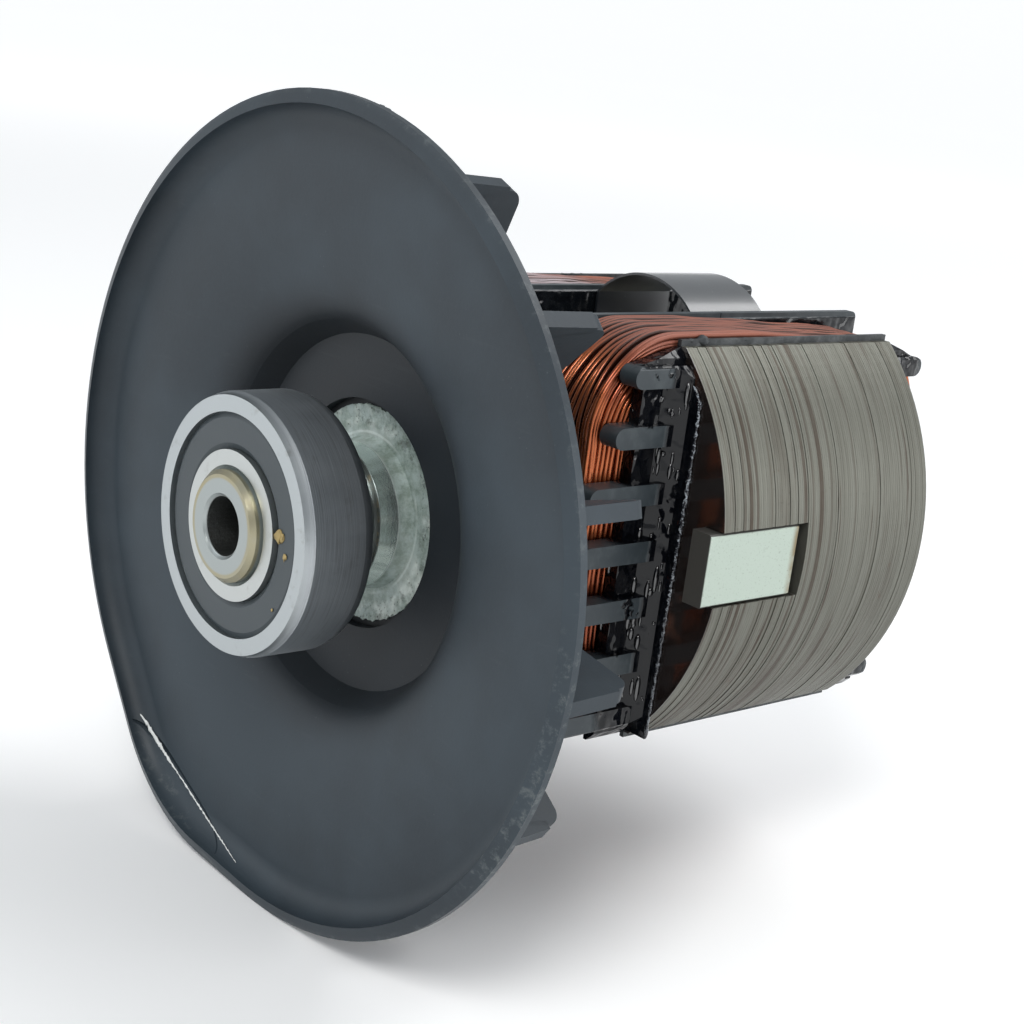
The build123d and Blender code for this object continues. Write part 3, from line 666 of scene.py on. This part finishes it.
def drawnIn(y, z, size):  # the turns lie tighter towards the rear and along the bottom
    end = size["rearY"] + size["rearReach"]
    if y > size["rearY"]:
        y = size["rearY"] + (y - size["rearY"]) * size["rearReach"] / size["height"]
    start = 0 if z > 0 else size["bottomDrop"]
    part = min(max((y - size["slopeStart"]) / (end - size["slopeStart"]), 0), 1)
    down = start + (size["rearDrop"] - start) * part
    if abs(z) > size["bed"]:
        z = math.copysign(size["bed"] + (abs(z) - size["bed"]) * (1 - down / size["height"]), z)
    return y, z


def wireGrowth():
    growth = Growth("wireGrowth", {"Radius": "NodeSocketFloat", "Sides": "NodeSocketInt"})
    circle = growth.node(
        "GeometryNodeCurvePrimitiveCircle", {},
        {"Radius": growth.given("Radius"), "Resolution": growth.given("Sides")},
    )
    tube = growth.node(
        "GeometryNodeCurveToMesh", {},
        {"Curve": growth.given("Geometry"), "Profile Curve": circle, "Fill Caps": True},
    )
    smooth = growth.node("GeometryNodeSetShadeSmooth", {}, {"Geometry": tube})
    growth.close(smooth, paints["wire"])
    return growth


def coilTurns(size):  # where each turn lies across the coil, how far out, and whether it is on the side face
    pitch, turns = size["wirePitch"], []
    for layer in range(size["layers"]):
        depth = size["wireRadius"] + layer * size["layerStep"] * pitch
        for turn in range(size["across"] - layer):
            turns.append((size["innerX"] + (turn + 0.5 + 0.5 * layer) * pitch, size["height"] - depth, False))
        for turn in range(1, size["sideTurns"] + 1):
            outerX = size["innerX"] + size["across"] * pitch - depth
            turns.append((outerX, turn * pitch - size["sideShift"], True))
    return turns


def coilWires(side, name, size):
    curve = bpy.data.curves.new(name, "CURVE")
    curve.dimensions = "3D"
    seed = size["seed"] + side * 11
    midY = (size["frontY"] + size["rearY"]) / 2
    lowX = size["innerX"] + size["wireRadius"]
    highX = size["innerX"] + size["across"] * size["wirePitch"] - size["wireRadius"]
    for number, (x, grow, onSide) in enumerate(coilTurns(size)):
        bundle = size["bundles"][int((x - size["innerX"]) / size["wirePitch"])] + onSide * size["sideBundle"]
        points = loopPoints(grow, size)
        spline = curve.splines.new("POLY")
        spline.points.add(len(points) - 1)
        for index, (y, z) in enumerate(points):
            slow = noise.noise(Vector((bundle * 4.7, y * 0.035 + seed, z * 0.04)))
            quick = noise.noise(Vector((number * 7.3, y * 0.07, z * 0.07 + seed)))
            lift = noise.noise(Vector((number * 3.1 + 40, y * 0.06, z * 0.06 + seed)))
            sunk = noise.noise(Vector((bundle * 6.1 + 9, y * 0.04, z * 0.05 - seed)))
            shift = size["wander"] * (slow * (0.5 if onSide else 1.0) + size["quickShare"] * quick)
            outward = -(abs(lift) + abs(sunk)) * size["lift"]
            reach = math.hypot(y - midY, z)
            if onSide:  # side turns move along the coil's height, and never out of its face
                factor, placeX = 1 + shift * 0.5 / reach, x + outward
            else:
                factor, placeX = 1 + outward / reach, min(max(x + shift, lowX), highX)
            place = Vector((side * placeX, midY + (y - midY) * factor, z * factor)) * mm
            spline.points[index].co = (*place, 1)
        spline.use_cyclic_u = True
    made = wireTubes.grow(linked(name, curve), {"Radius": size["wireRadius"] * mm, "Sides": size["sides"]})
    tidyMesh(made, paints["wire"])
    return made


def coilCore(side, name, size):
    # Solid under the two layers of wires, closed round the neck, painted dark as the shade of the inner turns
    depth = size["coreDepth"] * size["wireRadius"] * 2
    inside = loopPoints(0, size)
    outside = loopPoints(size["height"] - depth, size)
    nearX = side * size["innerX"] * mm
    farX = side * (size["innerX"] + size["across"] * size["wirePitch"] - depth) * mm
    rings = ((nearX, inside), (farX, inside), (farX, outside), (nearX, outside))
    points = [(x, y * mm, z * mm) for x, loop in rings for y, z in loop]
    return meshPiece(name, points, sleeveFaces(len(rings), len(inside)), paints["core"], smooth=False)


poles = ((1, "near"), (-1, "far"))
wireTubes = wireGrowth()
for side, name in poles:
    attach(coilWires(side, f"coilWires_{name}", coil), "rotor", "copper_winding", f"coil_{name}")
    attach(coilCore(side, f"coilCore_{name}", coil), "rotor", "copper_winding")
print("coils wound")


# Stack: single plates on a line of points, some of them a little short
plates = {
    "thickness": 0.47, "pitch": 0.5, "poleRadius": 44.0, "tipHeight": 32.1, "shoe": 29.0, "neck": 19.0,
    "bore": 11.0, "notchFloor": 39.45, "notchHalf": 6.1, "notchLength": 20.3, "arcSteps": 36, "boreSteps": 28,
    "spread": 0.0007, "short": 0.0022, "seed": 5,
    "shortPlates": (3, 4, 7, 8, 22, 23, 28, 29, 30, 33, 34, 38, 39, 53, 54, 75, 76, 93),
}


def plateOutline(size, notched):
    radius, tip, shoe, neck = (size[key] for key in ("poleRadius", "tipHeight", "shoe", "neck"))
    angle = math.asin(tip / radius)
    turns = [-angle + 2 * angle * step / size["arcSteps"] for step in range(size["arcSteps"] + 1)]
    arc = [(radius * math.cos(turn), radius * math.sin(turn)) for turn in turns]
    if notched:
        half, floor = size["notchHalf"], size["notchFloor"]
        edge = math.sqrt(radius ** 2 - half ** 2)
        below = [point for point in arc if point[1] < -half]
        above = [point for point in arc if point[1] > half]
        arc = below + [(edge, -half), (floor, -half), (floor, half), (edge, half)] + above
    pole = [(shoe, -neck), (shoe, -tip), *arc, (shoe, tip), (shoe, neck)]
    return [(side * x, side * z) for side in (1, -1) for x, z in pole]


def plateMesh(size, notched, name):
    shape = bmesh.new()
    bore = [onCircle(size["bore"], 360 * step / size["boreSteps"]) for step in range(size["boreSteps"])]
    edges = []
    for loop in (plateOutline(size, notched), bore):
        made = [shape.verts.new((x * mm, 0, z * mm)) for x, z in loop]
        edges += [shape.edges.new((made[index - 1], made[index])) for index in range(len(made))]
    filled = bmesh.ops.triangle_fill(shape, use_beauty=True, edges=edges)
    faces = [item for item in filled["geom"] if isinstance(item, bmesh.types.BMFace)]
    swept = bmesh.ops.extrude_face_region(shape, geom=faces)
    raised = [item for item in swept["geom"] if isinstance(item, bmesh.types.BMVert)]
    bmesh.ops.translate(shape, verts=raised, vec=(0, size["thickness"] * mm, 0))
    bmesh.ops.recalc_face_normals(shape, faces=shape.faces)
    mesh = bpy.data.meshes.new(name)
    shape.to_mesh(mesh)
    shape.free()
    return linked(name, mesh)


def plateGrowth():
    growth = Growth("plateGrowth", {
        "Plate": "NodeSocketObject", "Spread": "NodeSocketFloat", "Seed": "NodeSocketInt",
    })
    plate = growth.node("GeometryNodeObjectInfo", {}, {"Object": growth.given("Plate")}, output="Geometry")
    smallest = growth.math("SUBTRACT", 1.0, growth.given("Spread"))
    chance = growth.node("FunctionNodeRandomValue", {"data_type": "FLOAT"}, {
        "Min": smallest, "Max": 1.0, "Seed": growth.given("Seed"),
    }, output=1)
    size = growth.math("SUBTRACT", chance, growth.attribute("short"))
    scale = growth.node("ShaderNodeCombineXYZ", {}, {"X": size, "Y": 1.0, "Z": size})
    growth.close(growth.instances(growth.given("Geometry"), plate, Scale=scale), paints["plates"])
    return growth


def plateRun(name, plate, numbers, startY, size):
    mesh = bpy.data.meshes.new(name)
    mesh.from_pydata([(0, (startY + number * size["pitch"]) * mm, 0) for number in numbers], [], [])
    short = mesh.attributes.new("short", "FLOAT", "POINT")
    for index, number in enumerate(numbers):
        short.data[index].value = size["short"] if number in size["shortPlates"] else 0.0
    given = {"Plate": plate, "Spread": size["spread"], "Seed": size["seed"]}
    grown = plateStack.grow(linked(name, mesh), given)
    bpy.data.objects.remove(plate)
    return grown


plateStack = plateGrowth()
stackLow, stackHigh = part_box("lamination_stack")
plateCount = int(round((stackHigh.y - stackLow.y) / mm / plates["pitch"]))
notchedCount = int(plates["notchLength"] / plates["pitch"])
frontY = stackLow.y / mm
firstRun = plateRun("platesNotched", plateMesh(plates, True, "plateA"), range(notchedCount), frontY, plates)
wholeNumbers = range(notchedCount, plateCount)
otherRun = plateRun("platesWhole", plateMesh(plates, False, "plateB"), wholeNumbers, frontY, plates)
for piece in (firstRun, otherRun):
    tidyMesh(piece, paints["plates"], smooth=False)
attach(firstRun, "rotor", "lamination_steel", "lamination_stack")
attach(otherRun, "rotor", "lamination_steel")
print("plates stacked:", plateCount)


# Varnish that ran out over the stack's end, with a beaded edge of broken flakes
skirt = {
    "edge": ((27.7, 28.9), (29.6, 28.5), (31.6, 27.7), (33.6, 26.3), (34.8, 24.6), (35.0, 22.0), (35.0, 12.0),
             (34.8, 0.0), (34.5, -15.0), (34.1, -31.4)),
    "root": 28.0, "rootDrop": 0.4, "ragged": 0.22, "thick": 0.45, "behind": 0.01,
    "bead": 0.30, "beadBump": 0.10, "beadSet": 0.27, "beadFlat": 0.8, "rough": 0.9,
    "step": 0.42, "sides": 8, "seed": 12,
}


def evenly(points, step):  # the same line with its points a step apart
    line = []
    for first, last in zip(points, points[1:]):
        count = max(1, round(math.dist(first, last) / step))
        line += [tuple(a + (b - a) * part / count for a, b in zip(first, last)) for part in range(count)]
    return line + [points[-1]]


def unevenness(*place):
    return noise.noise(Vector(place))


tipThickness = 0.02


def rodPiece(name, line, place, thickAt, sides, paint):
    # A closed tube of uneven thickness along a line; place turns (line point, across, out) into mm
    points, faces = [], []
    for index, spot in enumerate(line):
        thick = tipThickness if index in (0, len(line) - 1) else thickAt(index)
        for corner in range(sides):
            across, out = onCircle(thick, 360 * corner / sides)
            points.append(Vector(place(spot, across, out)) * mm)
    for index in range(len(line) - 1):
        faces += ringFaces(index * sides, (index + 1) * sides, sides)
    faces += [tuple(range(sides)), tuple(range(len(points) - sides, len(points)))]
    return meshPiece(name, points, faces, paint)


def skirtPieces(side, label, size):
    line = []
    for x, z in evenly(size["edge"], size["step"]):
        line.append((x + size["ragged"] * unevenness(z * 0.9, side, size["seed"]), z))
    rim = line + [(size["root"], line[-1][1]), (size["root"], line[0][1] - size["rootDrop"])]
    points = []
    for before in (size["thick"], size["behind"]):
        points += [(side * x * mm, (frontY - before) * mm, z * mm) for x, z in rim]
    faces = prismFaces(len(rim))
    skirtPiece = meshPiece(f"varnishSkirt_{label}", points, faces, paints["frames"], smooth=False)

    def thickAt(index):
        x, z = line[index]
        return size["bead"] * (1 + size["rough"] * unevenness(z * 2.3, x * 2.1, size["seed"] + side))

    def place(spot, across, out):
        x, z = spot
        bump = size["beadBump"] * unevenness(z * 4.1, across * 9, size["seed"] - side)
        return side * (x + across + bump), frontY - size["beadSet"] + out * size["beadFlat"], z

    beadPiece = rodPiece(f"varnishBead_{label}", line, place, thickAt, size["sides"], paints["bead"])
    for piece in (skirtPiece, beadPiece):
        attach(piece, "rotor", "frame_plastic")


beadLook = {"varnish": (0.016, 0.018, 0.024), "broken": (0.40, 0.44, 0.48), "paleFrom": (-16, -4)}


def beadPaint(look):
    paint = Paint("varnishBead", coat=0.8, coatRoughness=0.06)
    upper = paint.z.step(*inMm(*look["paleFrom"]))
    broken = paint.noise(1500, 4, 0.75).step(0.50, 0.57)
    colour = paint.mix(broken * (0.35 + upper * 0.65), look["varnish"], look["broken"])
    return paint.finish(colour, 0.25, paint.bump(broken, 0.00015, 0.6))


paints["bead"] = beadPaint(beadLook)
for side, label in poles:
    skirtPieces(side, label, skirt)
print("varnish skirt laid")


# Drops and short runs of varnish that set on the front walls between the fingers
drops = {
    "colour": (0.002, 0.002, 0.003), "pockets": 6, "pitch": 9.3, "perPocket": 13, "gap": 2.3,
    "small": 0.20, "large": 0.62, "flat": 0.6, "shortest": 0.8, "tallest": 3.4, "slimmer": 1.2, "overlap": 0.6,
    "slope": ((28.7, 46.0), (30.5, 50.2), (32.9, 54.0)), "detail": 2, "seed": 31,
}


def dropGrowth(detail):
    growth = Growth("dropGrowth", {"Flat": "NodeSocketFloat"})
    ball = growth.node("GeometryNodeMeshIcoSphere", {}, {"Radius": 1.0, "Subdivisions": detail})
    wide = growth.attribute("size")
    flat = growth.math("MULTIPLY", wide, growth.given("Flat"))
    tall = growth.math("MULTIPLY", wide, growth.attribute("tall"))
    scale = growth.node("ShaderNodeCombineXYZ", {}, {"X": flat, "Y": wide, "Z": tall})
    laid = growth.instances(growth.given("Geometry"), ball, Scale=scale)
    smooth = growth.node("GeometryNodeSetShadeSmooth", {}, {"Geometry": laid})
    growth.close(smooth, paints["drops"])
    return growth


def dropPiece(side, label, size, growth):
    draw = random.Random(size["seed"] + side)
    points, sizes, heights = [], [], []
    slope = [Vector(corner) for corner in size["slope"]]
    for pocket in range(size["pockets"]):
        middle = (pocket - (size["pockets"] - 1) / 2) * size["pitch"]
        for _ in range(size["perPocket"]):
            along = 2 * draw.random()
            z = middle + draw.uniform(-size["gap"], size["gap"])
            x, y = slope[0].lerp(slope[1], along) if along < 1 else slope[1].lerp(slope[2], along - 1)
            points.append((side * x * mm, y * mm, z * mm))
            thick = draw.uniform(size["small"], size["large"])
            sizes.append(thick * mm)
            tall = draw.uniform(size["shortest"], size["tallest"]) ** size["slimmer"]
            heights.append(min(tall, (size["gap"] + size["overlap"]) / thick))
    mesh = bpy.data.meshes.new(f"varnishDrops_{label}")
    mesh.from_pydata(points, [], [])
    for key, values in (("size", sizes), ("tall", heights)):
        mesh.attributes.new(key, "FLOAT", "POINT").data.foreach_set("value", values)
    made = growth.grow(linked(f"varnishDrops_{label}", mesh), {"Flat": size["flat"]})
    tidyMesh(made, paints["drops"])
    return made


def dropPaint(colour):
    paint = Paint("varnishDrop", coat=1.0, coatRoughness=0.03, specular=0.9)
    return paint.finish(colour, 0.08 + paint.noise(900, 2) * 0.06)


paints["drops"] = dropPaint(drops["colour"])
dropTree = dropGrowth(drops["detail"])
for side, label in poles:
    attach(dropPiece(side, label, drops, dropTree), "rotor", "frame_plastic")
print("varnish drops set")


# Fan damage: a white strip in the crack as painted light for the bright background seen through it, and a torn
# flake of moulding flash at the top of the rim
crack = {  # the line is given by radius, angle and height of the fan's front face
    "line": ((62.9, -130.8, 6.30), (63.0, -128.5, 7.00), (62.8, -124.6, 7.50), (62.5, -121.2, 7.72),
             (62.15, -117.8, 7.86), (61.92, -114.2, 7.87), (61.82, -110.6, 7.78), (61.78, -106.9, 7.57),
             (61.66, -102.9, 7.05), (61.66, -98.9, 6.45), (61.8, -96.9, 6.10)),
    "wide": 0.52, "narrow": 0.19, "least": 0.06, "widest": 0.14, "reach": 0.17, "rough": 0.9,
    "fade": 4, "tail": 0.3, "jitter": 0.18, "proud": 0.04, "flat": 0.4, "step": 0.35, "sides": 6, "seed": 4,
}


def crackPiece(size):
    line = evenly([(*onCircle(radius, angle), y) for radius, angle, y in size["line"]], size["step"])

    def thickAt(index):
        part = index / (len(line) - 1)
        opened = max(0, 1 - abs(part - size["widest"]) / size["reach"])
        wide = size["narrow"] + (size["wide"] - size["narrow"]) * opened
        x, z, _ = line[index]
        rough = unevenness(x * 1.4, z * 1.4, size["seed"]) + 0.6 * unevenness(x * 4, z * 4, 1)
        thin = min(1, size["fade"] * (1 - part) + size["tail"])
        return max(size["least"], wide * (1 + size["rough"] * rough) * thin)

    def place(spot, across, out):
        x, z, y = spot
        jitter = size["jitter"] * unevenness(x * 1.9, z * 1.9, size["seed"] + 5)
        factor = 1 - (across + jitter) / math.hypot(x, z)
        return x * factor, y - size["proud"] + out * size["flat"], z * factor

    # painted light: a white strip standing for the background seen through the crack
    return rodPiece("fanCrackWhitening", line, place, thickAt, size["sides"], paints["crackLight"])


flake = {  # radius and angle along the rim's top
    "line": ((64.0, 94.4), (64.1, 91.7), (64.2, 88.4), (64.3, 85.1), (64.3, 82.5), (64.3, 80.1),
             (64.0, 79.0)),
    "y": 6.4, "drift": 0.5, "thick": 0.35, "least": 0.06, "rough": 1.2, "growing": 0.7,
    "inset": 0.3, "flat": 0.6, "tall": 1.8, "step": 0.5, "sides": 6, "seed": 9,
}


def flakePiece(size):
    flat = evenly([onCircle(radius, angle) for radius, angle in size["line"]], size["step"])
    line = [(x, z, size["drift"] * index / len(flat)) for index, (x, z) in enumerate(flat)]

    def thickAt(index):
        x, z, _ = line[index]
        rough = 0.5 + size["rough"] * unevenness(x * 0.9, z, size["seed"])
        return max(size["least"], size["thick"] * (rough + size["growing"] * index / len(line)))

    def place(spot, across, out):
        x, z, drift = spot
        factor = 1 + (across * size["flat"] - size["inset"]) / math.hypot(x, z)
        return x * factor, size["y"] + out * size["tall"] + drift, z * factor

    return rodPiece("fanFlake", line, place, thickAt, size["sides"], paints["fan"])


attach(crackPiece(crack), "rotor", "fan_plastic")
attach(flakePiece(flake), "rotor", "fan_plastic")

# Blade roots: webs that carry each blade out to the lip
bladeRoots = {
    "count": 14, "phase": 16.1, "thick": 2.5, "web": ((56.0, 9.0), (60.1, 9.0), (59.55, 20.2), (58.2, 20.2)),
}


def rootGrowth():
    growth = Growth("rootGrowth", {
        "Web": "NodeSocketObject", "Count": "NodeSocketInt",
        "Phase": "NodeSocketFloat", "Turn": "NodeSocketFloat",
    })
    web = growth.node("GeometryNodeObjectInfo", {}, {"Object": growth.given("Web")}, output="Geometry")
    spots = growth.node("GeometryNodeMeshLine", {}, {"Count": growth.given("Count"), "Offset": (0, 0, 0)})
    index = growth.node("GeometryNodeInputIndex", {}, {})
    turned = growth.math("MULTIPLY_ADD", index, growth.given("Turn"), growth.given("Phase"))
    rotation = growth.node("ShaderNodeCombineXYZ", {}, {"Y": growth.math("MULTIPLY", turned, -1.0)})
    growth.close(growth.instances(spots, web, Rotation=rotation), paints["fan"])
    return growth


def bladeRootPiece(size):
    points = [(x * mm, y * mm, side * size["thick"] / 2 * mm) for side in (1, -1) for x, y in size["web"]]
    web = meshPiece("bladeWeb", points, prismFaces(len(size["web"])), paints["fan"], smooth=False)
    grown = rootGrowth().grow(linked("bladeRoots", bpy.data.meshes.new("bladeRoots")), {
        "Web": web, "Count": size["count"],
        "Phase": math.radians(size["phase"]), "Turn": 2 * math.pi / size["count"],
    })
    bpy.data.objects.remove(web)
    tidyMesh(grown, paints["fan"], smooth=False)
    return grown


attach(bladeRootPiece(bladeRoots), "rotor", "fan_plastic")
print("fan damage and blade roots made")


# Torn casting skin round the insert's flange, and rough varnish along the liners' top edges
crust = {
    "inner": 15.2, "outer": 17.15, "y": 19.1, "thick": 0.5, "sunk": 0.28, "rearInset": 0.1, "steps": 260,
    "jag": 0.50, "calm": 0.18, "lift": 0.22, "tornZones": ((82.0, 34.0), (-62.0, 34.0)), "seed": 6,
}


def crustPiece(size):
    front, rear, seed = size["y"], size["y"] + size["thick"], size["seed"]
    rings = ([], [], [], [])
    for step in range(size["steps"]):
        angle = 360 * step / size["steps"]
        torn = size["calm"]
        for middle, reach in size["tornZones"]:
            away = abs((angle - middle + 180) % 360 - 180)
            torn = max(torn, 1 - (away / reach) ** 2)
        x, z = onCircle(1, angle)
        rough = unevenness(x * 26, z * 26, seed) + 0.6 * unevenness(x * 9, z * 9, seed + 3)
        outer = size["outer"] + size["jag"] * torn * rough
        lift = size["lift"] * torn * abs(unevenness(x * 15, z * 15, seed + 8))
        profile = (
            (size["inner"], front + size["sunk"]), (outer, front - lift),
            (outer - size["rearInset"], rear), (size["inner"], rear),
        )
        for ring, (radius, y) in zip(rings, profile):
            ring.append((radius * x * mm, y * mm, radius * z * mm))
    points = [point for ring in rings for point in ring]
    faces = sleeveFaces(len(rings), size["steps"])
    return meshPiece("flangeCrust", points, faces, paints["insert"], smooth=False)


attach(crustPiece(crust), "rotor", "insert_metal")

linerRun = {
    "thick": 0.34, "least": 0.1, "rough": 0.8, "lump": (59.6, 1.6, 0.75), "endGap": 0.3,
    "inset": 0.35, "sunk": 0.25, "flat": 0.8, "step": 0.5, "sides": 7, "seed": 17,
}


def linerRunPiece(side, label, size):
    low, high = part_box(f"slot_liner_{label}_top")
    edgeX, topZ = (high.x if side > 0 else low.x) / mm, high.z / mm
    ends = (edgeX, low.y / mm + size["endGap"]), (edgeX, high.y / mm - size["endGap"])
    line = evenly(ends, size["step"])
    lumpY, lumpReach, lumpThick = size["lump"]

    def thickAt(index):
        y = line[index][1]
        rough = unevenness(y * 0.8, side, size["seed"]) + 0.5 * unevenness(y * 2.7, side, 3)
        lump = lumpThick * max(0, 1 - abs(y - lumpY) / lumpReach)
        return max(size["least"], size["thick"] * (1 + size["rough"] * rough) + lump)

    def place(spot, across, out):
        x, y = spot
        return x - side * size["inset"] + across, y, topZ - size["sunk"] + out * size["flat"]

    return rodPiece(f"linerVarnish_{label}", line, place, thickAt, size["sides"], paints["liner"])


for side, label in poles:
    attach(linerRunPiece(side, label, linerRun), "rotor", "liner_board")
print("flange crust and liner varnish laid")


# Yellow crumbs of glue that stick to the seal's face, riding on the turning ring
crumbs = {
    "spots": ((12.4, 9.3, 0.95), (13.2, 8.0, 0.55), (14.2, -2.9, 0.45), (15.4, -37.0, 0.22)),
    "lift": 0.12, "flat": 0.28, "tall": 1.15, "rough": 0.9, "rayFrom": -30, "ground": -5.5, "seed": 8,
}


def crumbPiece(radius, angle, reach, label, size):
    shape = bmesh.new()
    bmesh.ops.create_icosphere(shape, subdivisions=2, radius=1.0)
    x, z = onCircle(radius, angle)
    found, spot, _, _ = nodes["bearing_front_seal"].ray_cast(inMm(x, size["rayFrom"], z), (0, 1, 0))
    ground = spot.y / mm if found else size["ground"]
    for vert in shape.verts:
        rough = noise.noise(vert.co * 1.9 + Vector((size["seed"], radius, angle)))
        out = vert.co * reach * (1 + size["rough"] * rough)
        y = ground - size["lift"] + out.y * size["flat"]
        vert.co = Vector((x + out.x, y, z + out.z * size["tall"])) * mm
    mesh = bpy.data.meshes.new(f"glueCrumb_{label}")
    shape.to_mesh(mesh)
    shape.free()
    piece = linked(f"glueCrumb_{label}", mesh)
    tidyMesh(piece, paints["fleck"])
    return piece


for label, (radius, angle, reach) in enumerate(crumbs["spots"], 1):
    attach(crumbPiece(radius, angle, reach, label, crumbs), "bearing_outer", "seal_rubber")
print("glue crumbs placed")


# Camera at the photograph's place, fitted to the rotor's circles
camera = {
    "place": (219.75, -152.62, 76.977),
    "ahead": (-0.7098, 0.65587, -0.25695), "up": (-0.27365, 0.07938, 0.95855),
    "focalPixels": 1829.23, "imagePixels": 1024, "sensor": 36.0, "clipStart": 0.01,
}
cameraData = bpy.data.cameras.new("camera")
cameraData.sensor_width = camera["sensor"]
cameraData.lens = camera["focalPixels"] / camera["imagePixels"] * camera["sensor"]
cameraData.clip_start = camera["clipStart"]
cameraObject = linked("camera", cameraData)
ahead = Vector(camera["ahead"]).normalized()
right = ahead.cross(Vector(camera["up"])).normalized()
up = right.cross(ahead)
turn = Matrix((right, up, -ahead)).transposed().to_4x4()
cameraObject.matrix_world = Matrix.Translation(Vector(camera["place"]) * mm) @ turn
bpy.context.scene.camera = cameraObject

# Plain pale floor that rises at its far edge, and soft lamps
studio = {
    "radius": 9.0, "flatShare": 0.6, "rise": 1.2, "rings": 14, "steps": 96,
    "floorColour": (0.93, 0.93, 0.93), "dark": (0.0, 0.0, 0.0),
    "glow": (0.50, 0.50, 0.50), "glowFrom": (0.25, 2.2),
    "world": (0.92, 0.96, 1.0), "worldStrength": 0.52, "aim": (0, 0.05, 0),
    "lamps": (
        ("keyLamp", (0.55, -0.75, 1.05), 0.45, 8.5, (1.0, 0.99, 0.97)),
        ("fillLamp", (-0.70, -0.95, 0.45), 0.9, 4.2, (0.93, 0.97, 1.0)),
        ("sideLamp", (0.95, 0.62, 0.30), 0.5, 3.6, (1.0, 1.0, 1.0)),
        ("rearLamp", (0.25, 0.75, 1.1), 0.8, 9.0, (1.0, 1.0, 1.0)),
    ),
}
bpy.context.scene.view_settings.view_transform = "Standard"
world = bpy.data.worlds.new("studio")
world.use_nodes = True
world.node_tree.nodes["Background"].inputs["Color"].default_value = (*studio["world"], 1)
world.node_tree.nodes["Background"].inputs["Strength"].default_value = studio["worldStrength"]
bpy.context.scene.world = world


def floorPaint(look):
    paint = Paint("floor")
    away = (paint.x * paint.x + paint.y * paint.y).math("SQRT").step(*look["glowFrom"])
    paint.surface.inputs["Emission Strength"].default_value = 1.0
    return paint.finish(look["floorColour"], 0.9, glow=paint.mix(away, look["dark"], look["glow"]))


def floorPiece(look):
    rings, steps, flatShare = look["rings"], look["steps"], look["flatShare"]
    points = [(0, 0, cadBox[0].z)]
    for ring in range(1, rings + 1):
        part = ring / rings
        height = cadBox[0].z + look["rise"] * max(0, (part - flatShare) / (1 - flatShare)) ** 2
        points += [(*onCircle(look["radius"] * part, 360 * step / steps), height) for step in range(steps)]
    faces = [(0, 1 + step, 1 + (step + 1) % steps) for step in range(steps)]
    for ring in range(rings - 1):
        faces += ringFaces(1 + ring * steps, 1 + (ring + 1) * steps, steps)
    return meshPiece("floor", points, faces, floorPaint(look))


floorPiece(studio)
for name, place, size, power, colour in studio["lamps"]:
    lamp = bpy.data.lights.new(name, "AREA")
    lamp.shape = "SQUARE"
    lamp.size = size
    lamp.energy = power
    lamp.color = colour
    lampObject = linked(name, lamp)
    lampObject.location = place
    lampObject.rotation_euler = (Vector(studio["aim"]) - Vector(place)).to_track_quat("-Z", "Y").to_euler()
print("studio ready")
